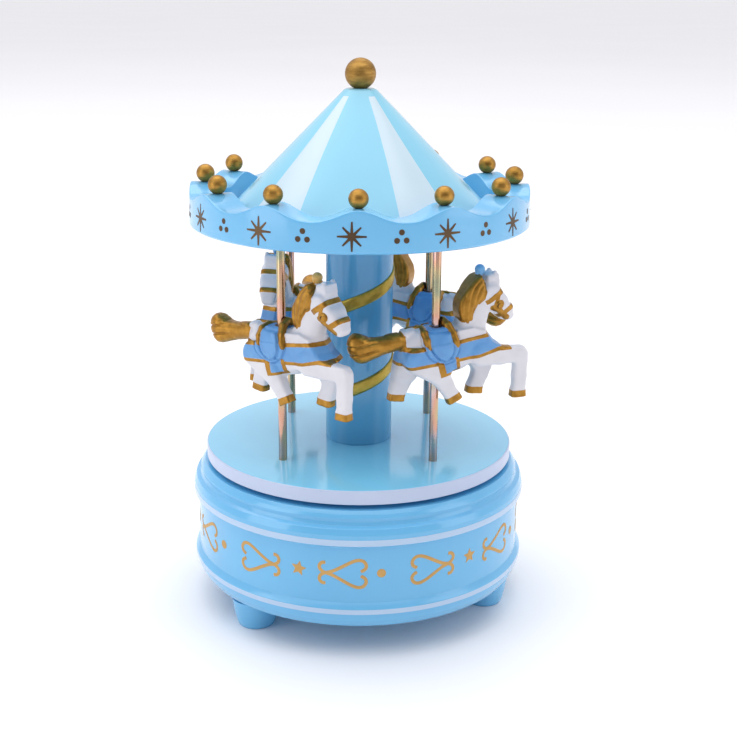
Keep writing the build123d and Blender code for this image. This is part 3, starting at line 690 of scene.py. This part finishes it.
def rim_pattern():
    """Foil stars below the balls and three spots between them, printed a little off the crests."""
    spots = [dot_outline(0.85, 0.0, 1.35), dot_outline(0.85, -1.4, -1.0), dot_outline(0.85, 1.4, -1.0)]
    stars = []
    dots = []
    for index in range(SCALLOPS):
        angle = SCALLOP_ANGLE * index - 1.9
        stars.append(wrapped_plate([rayed_star()], ring_wall, angle, 132.65, RING_R, FOIL_LIFT))
        dots.append(wrapped_plate(spots, ring_wall, angle + SCALLOP_ANGLE / 2, 132.4, RING_R, FOIL_LIFT))
    for name, found in (("rim_stars", stars), ("rim_dots", dots)):
        points, faces = joined(found)
        add_mesh(name, points, faces, "carousel", BRONZE_FOIL, 20)


# ---------------------------------------------------------------- horses
# A horse is one moulding, worked out as distances on a grid in mm: u forwards, v to its left and h
# above the deck


def blend(a, b, soft):
    """Smooth union of two distances."""
    share = np.clip(0.5 + 0.5 * (b - a) / soft, 0, 1)
    return b + (a - b) * share - soft * share * (1 - share)


def bar(p, start, end, r0, r1, flat=1.0, power=2.0):
    """Distance to a tapered bar; flat widens it sideways and a power over 2 squares it off."""
    a = np.array(start, np.float32)
    way = np.array(end, np.float32) - a
    t = ((p[0] - a[0]) * way[0] + (p[1] - a[1]) * way[1] + (p[2] - a[2]) * way[2]) / float(way @ way)
    t = np.clip(t, 0, 1)
    du = p[0] - (a[0] + t * way[0])
    dv = np.abs(p[1] - (a[1] + t * way[1])) / flat
    dh = p[2] - (a[2] + t * way[2])
    side = np.sqrt(du * du + dh * dh)
    if power == 2.0:
        reach = np.sqrt(side * side + dv * dv)
    else:
        reach = (side ** power + dv ** power) ** (1 / power)
    return reach - (r0 + (r1 - r0) * t)


def chain(p, stations, flat=1.0, power=2.0, soft=0.6):
    """Bars through (u, v, h, r) stations."""
    found = None
    for a, b in zip(stations[:-1], stations[1:]):
        more = bar(p, a[:3], b[:3], a[3], b[3], flat, power)
        found = more if found is None else blend(found, more, soft)
    return found


def plane_cut(p, spot, outward):
    """Distance past a plane in the side view, positive outside."""
    length = math.hypot(*outward)
    return ((p[0] - spot[0]) * outward[0] + (p[2] - spot[1]) * outward[1]) / length


def outline_edge(p, outline):
    """Side-view distance to a closed outline of (u, h), negative inside."""
    u, h = p[0], p[2]
    nearest = np.full(np.shape(u), 1e6, np.float32)
    inside = np.zeros(np.shape(u), bool)
    for (u0, h0), (u1, h1) in zip(outline, outline[1:] + outline[:1]):
        du, dh = u1 - u0, h1 - h0
        t = np.clip(((u - u0) * du + (h - h0) * dh) / (du * du + dh * dh), 0, 1)
        nearest = np.minimum(nearest, np.hypot(u - u0 - t * du, h - h0 - t * dh))
        crosses = (h0 > h) != (h1 > h)
        slope = du / dh if abs(dh) > 1e-9 else 0.0
        inside ^= crosses & (u < slope * (h - h0) + u0)
    return np.where(inside, -nearest, nearest)


def slab(p, edge, half, corner):
    """Rounded slab across the horse with the given side-view edge distance."""
    out = edge + corner
    wide = np.abs(p[1]) - half + corner
    return np.minimum(np.maximum(out, wide), 0) + np.hypot(np.maximum(out, 0), np.maximum(wide, 0)) - corner


def step_up(distance, width=0.35):
    """1 inside, 0 outside, smooth across an edge."""
    t = np.clip(0.5 - distance / width, 0, 1)
    return t * t * (3 - 2 * t)


# Side-view outlines as (u, h), and rolls as (u, v, h, r)
MANE = [
    (7.2, 46.4), (6.5, 48.4), (6.4, 50.4), (7.0, 52.6), (8.1, 54.7), (9.2, 56.6), (10.5, 58.2),
    (12.2, 59.8), (14.0, 60.4), (14.8, 58.6), (15.4, 55.3), (14.9, 52.8), (12.6, 51.4), (11.2, 49.6),
    (10.8, 46.8), (9.3, 45.4),
]
TAIL = [
    (-8.5, 38.4), (-8.5, 42.0), (-10.8, 43.0), (-12.8, 43.7), (-15.0, 43.5), (-17.6, 43.0), (-20.0, 42.7),
    (-21.9, 42.9), (-23.6, 43.6), (-25.4, 44.3), (-26.9, 44.4), (-28.1, 43.7), (-28.9, 42.6), (-29.3, 41.0),
    (-29.0, 39.0), (-28.2, 37.0), (-26.8, 35.5), (-25.4, 34.9), (-23.6, 35.0), (-20.8, 35.9),
    (-17.5, 36.9), (-13.5, 37.7),
]
OUTER_FLAP = [
    (-6.0, 43.5), (-6.0, 40.5), (-5.3, 37.9), (-4.4, 36.5), (-2.9, 35.4), (-1.4, 34.6), (0.2, 34.2),
    (1.9, 34.3), (3.5, 34.8), (4.7, 36.1), (5.5, 37.9), (5.6, 40.2), (4.9, 43.5),
]
INNER_FLAP = [
    (-4.1, 45.0), (-4.1, 41.6), (-3.8, 39.6), (-3.0, 38.0), (-1.9, 36.5), (-0.6, 35.6), (0.8, 35.3),
    (2.2, 35.6), (3.1, 36.8), (3.5, 38.4), (3.2, 40.6), (2.3, 45.0),
]
TAB = [(0.1, 35.4), (1.3, 30.8), (5.3, 31.6), (4.5, 35.4)]
TAB_BORDER = [(-2.0, 35.4), (-1.3, 32.2), (-0.4, 29.4), (3.2, 30.2), (6.9, 31.1), (5.6, 35.6)]
SEAT = [
    (-3.6, 41.0), (-3.3, 43.6), (-2.4, 44.2), (-0.4, 44.1), (1.6, 44.0), (2.9, 43.4), (3.9, 42.0),
    (4.2, 40.0),
]
CANTLE = [(-4.9, 0.0, 44.2, 1.1), (-5.1, 3.2, 43.4, 1.1), (-4.9, 5.0, 41.4, 1.0), (-4.5, 5.6, 39.0, 0.85)]
POMMEL = [
    (2.2, 0.0, 46.3, 1.3), (2.9, 2.6, 45.3, 1.3), (4.0, 4.5, 43.0, 1.15), (4.7, 5.4, 40.8, 1.0),
    (5.2, 5.7, 39.6, 0.8),
]
CHEST = [
    (4.0, 31.5), (4.0, 43.5), (12.5, 44.5), (16.6, 43.2), (17.2, 41.8), (19.4, 39.0), (21.6, 37.4),
    (22.4, 36.6), (20.6, 35.6), (15.0, 33.4),
]
POLL_BLOCK = [(15.4, 53.0), (15.9, 60.0), (17.0, 60.6), (19.9, 60.5), (20.4, 58.0), (20.2, 55.0)]
CHEEK_STRAP = [(17.9, 49.9), (19.7, 49.2), (21.2, 47.8), (23.1, 46.2)]

# The blanket's gold borders, as heights at stations along the trunk
BAND_U = (-11.8, -5.8, 5.3, 11.1, 15.8)
BAND_TOP = (39.4, 39.6, 40.8, 41.6, 42.4)
BAND_TOP_INNER = (37.9, 38.4, 39.5, 40.4, 41.1)
LOW_U = (-10.4, -4.0, 7.0, 13.0, 19.2)
BAND_LOW_INNER = (33.7, 34.3, 35.1, 35.8, 37.7)
BAND_LOW = (32.6, 33.2, 34.0, 34.7, 36.4)

# The face runs from the poll along FACE_WAY; the bridle's bands cross it at these distances
POLL = (18.6, 55.0)
FACE_WAY = (0.573, -0.819)
BROW = 1.0
NOSEBAND = 7.6
BAND_HALF = 0.85
EYE = (20.0, 50.9)
EYE_R = 1.35


def head_coords(p):
    """Along the face from the brow to the muzzle, and out from the ridge of the nose."""
    (u0, h0), (du, dh) = POLL, FACE_WAY
    along = (p[0] - u0) * du + (p[2] - h0) * dh
    across = -(p[0] - u0) * dh + (p[2] - h0) * du
    return along, across


def strap_edge(p):
    """Side-view distance to the cheek strap that runs from the brow to the noseband."""
    flat = (p[0], 0 * p[1], p[2])
    found = bar(flat, (19.6, 0, 54.6), (18.3, 0, 49.6), 0.6, 0.75)
    for (u0, h0), (u1, h1) in zip(CHEEK_STRAP, CHEEK_STRAP[1:]):
        found = np.minimum(found, bar(flat, (u0, 0, h0), (u1, 0, h1), 0.95, 0.95))
    return found


def tack_rolls(p):
    """Distance to the saddle's raised front and back rolls."""
    mirrored = (p[0], np.abs(p[1]), p[2])
    return np.minimum(chain(mirrored, CANTLE, 1.0, 2.0, 0.4), chain(mirrored, POMMEL, 1.0, 2.0, 0.4))


def mane_field(p):
    """A thick fan with locks that follow the neck's curve."""
    edge = outline_edge(p, MANE)
    radius = np.hypot(p[0] - 19.0, (p[2] - 50.5) * 0.86)
    body = slab(p, edge, np.interp(radius, [8.0, 12.6], [4.3, 3.4]), 1.2)
    turn = np.arctan2(p[2] - 50.5, 19.0 - p[0])
    flow = radius * 4.0 + 1.1 * np.sin(turn * 2.3) + 0.8 * np.sin(turn * 5.0 + radius * 0.8)
    lock = np.abs(np.sin(flow * 0.5)) ** 0.7
    fine = 0.5 + 0.5 * np.cos(flow * 2.3 + 1.2 * np.sin(turn * 3.0))
    return body + 0.34 * (1 - lock) + 0.06 * fine


def tail_field(p):
    """A swept tail that fans into locks at its end."""
    spread = np.interp(-p[0], [10.0, 18.0, 25.0, 29.0], [2.9, 2.8, 3.5, 2.8])
    core = slab(p, outline_edge(p, TAIL) + 0.1, spread, 2.6)
    lift = p[2] - 40.0 - 0.9 * np.sin((p[0] + 27) * 0.22)
    away = np.clip((-12.5 - p[0]) / 5.0, 0, 1)
    end = np.clip((-18.0 - p[0]) / 5.5, 0, 1)
    crest = np.exp(-((lift - 1.9) / 0.32) ** 2) * 0.24 * away * (1 - end)
    grooves = sum(np.exp(-((lift - at * (1 + 0.25 * end)) / 0.3) ** 2) for at in (0.5, -1.7)) * 0.5 * end
    fine = 0.03 * np.cos(lift * 6.5 + 0.6 * np.sin(p[0] * 0.4)) * away
    return core + crest + grooves + fine


def leg(p, stations, hoof, outward, flat=0.76, power=4.2):
    """A square-edged leg whose hoof is cut flat."""
    limb = chain(p, stations, flat, power, 0.6) - 0.12
    foot = np.array(hoof[:3])
    way = np.array([outward[0], 0, outward[1]])
    cup = bar(p, tuple(foot - way * 1.9), tuple(foot + way * 1.5), hoof[3] * 0.9, hoof[3], flat, power)
    return np.maximum(blend(limb, cup, 0.3), plane_cut(p, (hoof[0], hoof[2]), outward))


# Each leg: its stations, its hoof as (u, v, h, r) and the way the hoof is cut, in the side view
LEGS = {
    "right_fore": (
        [(14.0, -2.6, 35.2, 3.8), (20.5, -3.4, 34.4, 2.8), (27.6, -3.5, 34.2, 2.3), (27.8, -3.5, 32.3, 2.2),
         (27.7, -3.5, 27.0, 2.15), (27.6, -3.5, 22.6, 2.1)], (27.45, -3.5, 20.1, 2.75), (0.0, -1.0)),
    "left_fore": (
        [(14.0, 2.8, 35.0, 3.8), (17.4, 3.3, 29.6, 3.0), (17.0, 3.3, 27.0, 2.5), (15.6, 3.3, 23.4, 2.45)],
        (15.0, 3.3, 20.6, 2.95), (-0.10, -0.995)),
    "right_hind": (
        [(-6.8, -2.8, 35.0, 4.6), (-0.6, -3.3, 30.6, 3.7), (1.9, -3.5, 26.6, 2.5), (3.9, -3.5, 23.4, 2.2)],
        (5.4, -3.5, 20.9, 2.75), (0.45, -0.893)),
    "left_hind": (
        [(-7.2, 2.8, 35.5, 4.6), (-8.9, 3.2, 30.2, 3.8), (-10.4, 3.3, 26.4, 2.8), (-11.4, 3.3, 23.4, 2.6)],
        (-11.9, 3.3, 20.6, 2.85), (-0.12, -0.993)),
}


def horse_field(p):
    """The whole moulding, with its raised tack."""
    trunk = chain(p, [(-5.4, 0, 38.0, 6.5), (1.5, 0, 37.0, 7.3), (6.0, 0, 37.3, 7.2)], 0.72, 2.8, 2.0)
    prow = (p[0] + 0.37 * np.abs(p[1]), p[1], p[2])
    chest = slab(p, outline_edge(prow, CHEST), 5.0, 0.5)
    body = blend(trunk, chest, 0.6)
    nape = [(10.8, 0, 42.0, 5.6), (12.2, 0, 47.0, 4.4), (14.6, 0, 52.0, 3.9), (16.2, 0, 55.6, 3.4)]
    body = blend(body, chain(p, nape, 0.76, 2.8, 1.8), 1.2)
    face = [(17.3, 0, 54.2, 3.5), (20.4, 0, 51.2, 3.05), (23.0, 0, 48.6, 2.35), (24.1, 0, 46.9, 1.95)]
    jaw = bar(p, (19.2, 0, 50.6), (22.4, 0, 47.2), 2.7, 1.9, 1.15, 3.5)
    head = blend(chain(p, face, 1.2, 4.5, 0.8), jaw, 0.8)
    poll = slab(p, outline_edge(p, POLL_BLOCK), 2.95, 0.8)
    body = blend(body, blend(head, poll, 0.9), 1.0)
    for side in (-1, 1):
        ear = bar(p, (18.3, side * 1.9, 59.6), (18.7, side * 2.15, 60.8), 1.15, 0.7, 0.9, 2.6)
        body = blend(body, ear, 0.5)
    for stations, hoof, outward in LEGS.values():
        body = blend(body, leg(p, stations, hoof, outward), 0.9)

    side = np.clip((np.abs(p[1]) - 2.2) / 1.2, 0, 1)
    top = np.interp(p[0], BAND_U, BAND_TOP)
    bottom = np.interp(p[0], LOW_U, BAND_LOW)
    blanket = step_up(np.abs(p[2] - (top + bottom) / 2) - (top - bottom) / 2) * step_up(-p[0] - 14)
    flaps = 0.6 * step_up(outline_edge(p, OUTER_FLAP), 0.3) + 0.7 * step_up(outline_edge(p, INNER_FLAP), 0.6)
    for outline in (OUTER_FLAP, INNER_FLAP):
        flaps = flaps - 0.4 * np.exp(-((outline_edge(p, outline) - 0.3) / 0.25) ** 2)
    tab = 0.3 * step_up(outline_edge(p, TAB_BORDER)) + 0.35 * step_up(outline_edge(p, TAB))
    body = body - 0.2 * blanket - side * (flaps + tab)
    seat = slab(p, outline_edge(p, SEAT), 5.2, 1.9)
    body = blend(body, seat, 0.6)
    body = blend(body, tack_rolls(p), 0.25)
    rump_line = bar(p, (-9.6, 0, 44.5), (-5.6, 0, 44.7), 0.55, 0.55)
    crupper = chain(p, [(-10.6, 0, 43.2, 1.3), (-8.6, 0, 43.6, 1.2)], 2.0, 2.4)
    body = blend(blend(body, rump_line, 0.4), crupper, 0.8)

    along, across = head_coords(p)
    brow = step_up(np.abs(along - BROW) - BAND_HALF)
    noseband = step_up(np.abs(along - NOSEBAND) - BAND_HALF)
    straps = np.maximum(np.maximum(brow, noseband), step_up(strap_edge(p)) * side)
    from_eye = np.hypot(p[0] - EYE[0], p[2] - EYE[1]) - EYE_R
    body = body - step_up(-along - 3) * step_up(-across - 3.6) * 0.16 * straps
    body = body - 0.3 * side * step_up(from_eye)
    body = body + 0.2 * side * step_up(np.abs(from_eye) - 0.12, 0.2)

    body = blend(body, mane_field(p), 0.2)
    body = blend(body, tail_field(p), 0.3)
    body = blend(body, bar(p, (14.2, 0, 60.0), (14.5, 0, 61.7), 1.2, 1.65), 0.25)
    pole = np.hypot(p[0], p[1]) - (POLE_R + 0.05)
    return np.maximum(body, -pole)


def horse_paint(p):
    """Signed distances, positive inside, to the gold, the blue, the plume and the dark paint."""
    side = np.abs(p[1])
    top = np.interp(p[0], BAND_U, BAND_TOP)
    top_inner = np.interp(p[0], BAND_U, BAND_TOP_INNER)
    low_inner = np.interp(p[0], LOW_U, BAND_LOW_INNER)
    low_edge = np.interp(p[0], LOW_U, BAND_LOW)
    on_trunk = np.minimum(p[0] + 14.0, 24.0 - p[0])
    top_border = np.minimum(top - p[2], p[2] - top_inner)
    low_border = np.minimum(low_inner - p[2], p[2] - low_edge)
    gold = np.minimum(np.maximum(top_border, low_border), on_trunk)
    blue = np.minimum(np.minimum(top_inner - p[2], p[2] - low_inner), on_trunk)
    tab = -outline_edge(p, TAB)
    border = np.where(side > 2.8, -outline_edge(p, TAB_BORDER), -9.0)
    gold = np.maximum(gold, border)
    flap = np.where(side > 2.4, -outline_edge(p, OUTER_FLAP), -9.0)
    seat = np.minimum(np.minimum(p[0] + 4.6, 4.4 - p[0]), p[2] - 41.0)
    saddle = np.maximum(np.maximum(flap, seat), np.where(side > 2.8, tab, -9.0))
    blue = np.maximum(blue, saddle)
    gold = np.minimum(gold, -saddle)
    gold = np.maximum(gold, 0.12 - tack_rolls(p))
    crupper = np.minimum(np.minimum(0.7 - side, p[2] - 43.6), np.minimum(-5.2 - p[0], p[0] + 10.5))
    gold = np.maximum(gold, crupper)

    along, across = head_coords(p)
    on_head = np.minimum(along + 2.0, across + 4.6)
    bands = np.maximum(BAND_HALF - np.abs(along - BROW), BAND_HALF - np.abs(along - NOSEBAND))
    eye = np.hypot(p[0] - EYE[0], p[2] - EYE[1])
    cheek = np.where(side > 1.6, np.maximum(-strap_edge(p), 1.5 - eye), -9.0)
    gold = np.maximum(gold, np.minimum(np.maximum(bands, cheek), on_head))
    lash = np.where(side > 1.6, 0.2 - np.abs(np.hypot(p[0] - 20.3, p[2] - 50.3) - 1.25), -9.0)
    dark = np.minimum(lash, np.minimum(51.4 - p[2], 1.2 - eye))
    for stations, hoof, outward in LEGS.values():
        past = plane_cut(p, (hoof[0], hoof[2]), outward)
        near = 5.0 - np.sqrt((p[0] - hoof[0]) ** 2 + (p[1] - hoof[1]) ** 2 + (p[2] - hoof[2]) ** 2)
        gold = np.maximum(gold, np.minimum(near, 2.3 + past))
        shoe = 0.22 - np.abs(np.hypot(p[0] - hoof[0], p[1] - hoof[1]) - 1.1)
        dark = np.maximum(dark, np.minimum(np.minimum(shoe, past + 0.35), near))
    gold = np.maximum(gold, 0.45 - mane_field(p))
    gold = np.maximum(gold, np.minimum(0.6 - tail_field(p), -10.9 - p[0]))
    plume = 0.15 - bar(p, (14.4, 0, 61.2), (14.5, 0, 61.7), 1.5, 1.65)
    dark = np.maximum(dark, np.minimum(POLE_R + 0.75 - np.hypot(p[0], p[1]), p[2] - 43.6))
    return gold, blue, plume, dark


def horse_mesh():
    """The moulding's surface from its distance grid, with paint distances kept on its points."""
    cell = 0.25
    corner = np.array([-31.5, -8.4, 18.0])
    size = np.array([64.0, 16.8, 47.0])
    counts = np.ceil(size / cell).astype(int)
    axes = [corner[i] + cell * np.arange(counts[i], dtype=np.float32) for i in range(3)]
    p = np.meshgrid(*axes, indexing="ij")
    field = np.clip(horse_field([c.astype(np.float32) for c in p]), -4 * cell, 4 * cell).astype(np.float32)
    grid = openvdb.FloatGrid(4 * cell)
    grid.copyFromArray(field)
    points, quads = grid.convertToQuads(isovalue=0.0)
    points = points * cell + corner
    mesh = bpy.data.meshes.new("horse_moulding")
    mesh.from_pydata((points * MM).tolist(), [], quads[:, ::-1].tolist())
    mesh.update()
    mesh.validate()
    mesh.shade_smooth()
    places = [points[:, i].astype(np.float32) for i in range(3)]
    for name, values in zip(("gold", "blue", "plume", "dark"), horse_paint(places)):
        layer = mesh.attributes.new(name, "FLOAT", "POINT")
        layer.data.foreach_set("value", np.clip(values, -3, 3).astype(np.float32))
    return mesh


def horse_look(name, plume_colour):
    """Off-white moulding with blue and gold paint laid by distance, and a painted plume."""
    look = Look(name, Coat_Weight=0.06, Coat_Roughness=0.15)
    soft = 0.06
    wander = 0.22

    def edge(attribute):
        source = look.node("ShaderNodeAttribute", attribute_name=attribute).outputs["Fac"]
        wobble = look.node("ShaderNodeMath", operation="MULTIPLY_ADD")
        look.link(look.noise(900.0, 2.0), wobble.inputs[0])
        wobble.inputs[1].default_value = wander
        look.link(source, wobble.inputs[2])
        made = look.node("ShaderNodeMapRange", interpolation_type="SMOOTHSTEP")
        made.inputs["From Min"].default_value = wander / 2 - soft
        made.inputs["From Max"].default_value = wander / 2 + soft
        look.link(wobble.outputs[0], made.inputs["Value"])
        return made.outputs["Result"]

    def mix(share, first, second):
        made = look.node("ShaderNodeMix", data_type="RGBA")
        look.link(share, made.inputs["Factor"])
        # Sockets 6 and 7 are the colour inputs, and 2 is the colour result
        for index, value in ((6, first), (7, second)):
            if isinstance(value, tuple):
                made.inputs[index].default_value = (*value, 1.0)
            else:
                look.link(value, made.inputs[index])
        return made.outputs[2]

    white = look.ramp(look.noise(120.0, 3.0), [(0.3, (0.68, 0.665, 0.70)), (0.7, (0.75, 0.735, 0.765))])
    blue = look.ramp(look.noise(260.0, 3.0), [(0.3, (0.11, 0.31, 0.64)), (0.7, (0.14, 0.37, 0.70))])
    gold = look.ramp(look.noise(500.0, 4.0), [(0.3, (0.30, 0.14, 0.015)), (0.7, (0.46, 0.235, 0.035))])
    gold_share = edge("gold")
    colour = mix(edge("blue"), white, blue)
    colour = mix(gold_share, colour, gold)
    colour = mix(edge("plume"), colour, plume_colour)
    colour = mix(edge("dark"), colour, (0.07, 0.035, 0.01))
    look.colour(colour)
    metallic = look.node("ShaderNodeMath", operation="MULTIPLY")
    look.link(gold_share, metallic.inputs[0])
    metallic.inputs[1].default_value = 0.8
    look.link(metallic.outputs[0], look.shader.inputs["Metallic"])
    look.spread(look.noise(300.0, 3.0), 0.28, 0.42, "Roughness")
    look.bump(look.noise(800.0, 3.0), 0.08, 0.0003)
    return look.material


def horses():
    """Four copies of the moulding on their poles, with blue and gold plumes by turns."""
    mesh = horse_mesh()
    looks = (
        horse_look("horse_paint", (0.16, 0.42, 0.72)),
        horse_look("horse_paint_gold_plume", (0.66, 0.39, 0.10)),
    )
    for index in range(4):
        angle = 45.0 + 90.0 * index
        spot = Matrix.Translation(Vector(around(POLE_RING, angle, DECK_TOP)) * MM)
        turn = Matrix.Rotation(math.radians(angle + HORSE_YAW[index + 1]), 4, "Z")
        own = mesh.copy()
        own.name = f"horse_{index + 1}_moulding"
        own.transform(spot @ turn)
        own.materials.append(looks[index % 2])
        piece = linked(f"painted_horse_{index + 1}", own)
        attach(piece, "carousel")
        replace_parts(piece, f"horse_{index + 1}")


# ---------------------------------------------------------------- carried-over CAD nodes

CAD_LOOKS = {
    "blue_plastic": BLUE, "pale_plastic": PALE, "horse_white": WHITE, "gold_plated": GOLD,
    "zinc_plated": RAINBOW_ZINC, "steel": STEEL, "zinc_casting": ZINC, "brass": BRASS, "nylon": NYLON,
}


def cad_materials():
    """Each CAD piece gets the look of its material slot."""
    slots = {row["node"]: row["material_slot"] for row in frame["record"]["subparts"]}
    for name, piece in frame["nodes"].items():
        piece.data.materials.clear()
        piece.data.materials.append(CAD_LOOKS[slots[name]])


# ---------------------------------------------------------------- studio


def camera():
    """A camera a little above the object, looking slightly down on it."""
    place = (0.003185, -0.41475, 0.20144)
    elevation = 0.2879
    roll = 0.0076
    data = bpy.data.cameras.new("camera")
    data.sensor_width = 36.0
    data.lens = 63.29
    data.clip_end = 50.0
    view = linked("camera", data)
    forward = Vector((0, math.cos(elevation), -math.sin(elevation)))
    right = Vector((1, 0, 0))
    up = right.cross(forward)
    rolled_right = right * math.cos(roll) + up * math.sin(roll)
    rolled_up = up * math.cos(roll) - right * math.sin(roll)
    axes = Matrix((rolled_right, rolled_up, -forward)).transposed().to_4x4()
    view.matrix_world = Matrix.Translation(place) @ axes
    bpy.context.scene.camera = view


def area_light(name, place, target, width, height, power):
    """A soft box at a place, facing a target."""
    data = bpy.data.lights.new(name, "AREA")
    data.shape = "RECTANGLE"
    data.size = width
    data.size_y = height
    data.energy = power
    lamp = linked(name, data)
    way = Vector(target) - Vector(place)
    lamp.matrix_world = Matrix.Translation(place) @ way.to_track_quat("-Z", "Y").to_matrix().to_4x4()


def floor():
    """A wide sheet of white paper under the object."""
    reach = 40.0
    corners = [(-reach, -reach, 0), (reach, -reach, 0), (reach, reach, 0), (-reach, reach, 0)]
    sheet = bpy.data.meshes.new("floor")
    sheet.from_pydata(corners, [], [(0, 1, 2, 3)])
    paper = linked("floor", sheet)
    look = Look("floor_paper", Roughness=0.55)
    look.colour(look.ramp(look.noise(2.0, 2.0), [(0.3, (0.93, 0.925, 0.94)), (0.7, (0.95, 0.945, 0.96))]))
    sheet.materials.append(look.material)


def surroundings():
    """Pale walls, darker towards the front, as the glossy parts mirror them."""
    world = bpy.data.worlds.new("studio")
    world.use_nodes = True
    nodes = world.node_tree.nodes
    links = world.node_tree.links
    coords = nodes.new("ShaderNodeTexCoord")
    split = nodes.new("ShaderNodeSeparateXYZ")
    ramp = nodes.new("ShaderNodeValToRGB")
    ramp.color_ramp.elements[0].position = 0.1
    ramp.color_ramp.elements[0].color = (0.34, 0.34, 0.37, 1)
    ramp.color_ramp.elements[1].position = 0.7
    ramp.color_ramp.elements[1].color = (0.98, 0.97, 1.0, 1)
    spread = nodes.new("ShaderNodeMapRange")
    spread.inputs["From Min"].default_value = -1.0
    links.new(coords.outputs["Generated"], split.inputs[0])
    links.new(split.outputs["Y"], spread.inputs["Value"])
    links.new(spread.outputs["Result"], ramp.inputs["Fac"])
    links.new(ramp.outputs["Color"], nodes["Background"].inputs["Color"])
    nodes["Background"].inputs["Strength"].default_value = 0.86
    bpy.context.scene.world = world


def lights():
    """A broad sky, a big box overhead and a smaller one on each side."""
    sky = bpy.data.lights.new("sky", "SUN")
    sky.energy = 0.75
    sky.angle = math.radians(70)
    linked("sky", sky).rotation_euler = (math.radians(-8), math.radians(-6), 0)
    area_light("ceiling_box", (-0.2, 0.1, 2.0), (0, 0.1, 0), 3.0, 3.0, 24.0)
    area_light("left_box", (-0.8, -0.45, 0.35), (0, 0, 0.1), 0.5, 0.8, 2.2)
    area_light("right_box", (0.8, -0.3, 0.4), (0, 0, 0.1), 0.45, 0.8, 1.5)
    bpy.context.scene.view_settings.view_transform = "Standard"


cad_materials()
base_shell()
pinstripe("pinstripe_lower", 15.4, 17.0, 55.62)
pinstripe("pinstripe_upper", 38.1, 40.1, 55.6)
feet()
band_pattern()
deck_disc()
column_tube()
spiral_band()
poles()
canopy_rim()
ceiling()
roof()
balls()
rim_pattern()
horses()
camera()
floor()
surroundings()
lights()
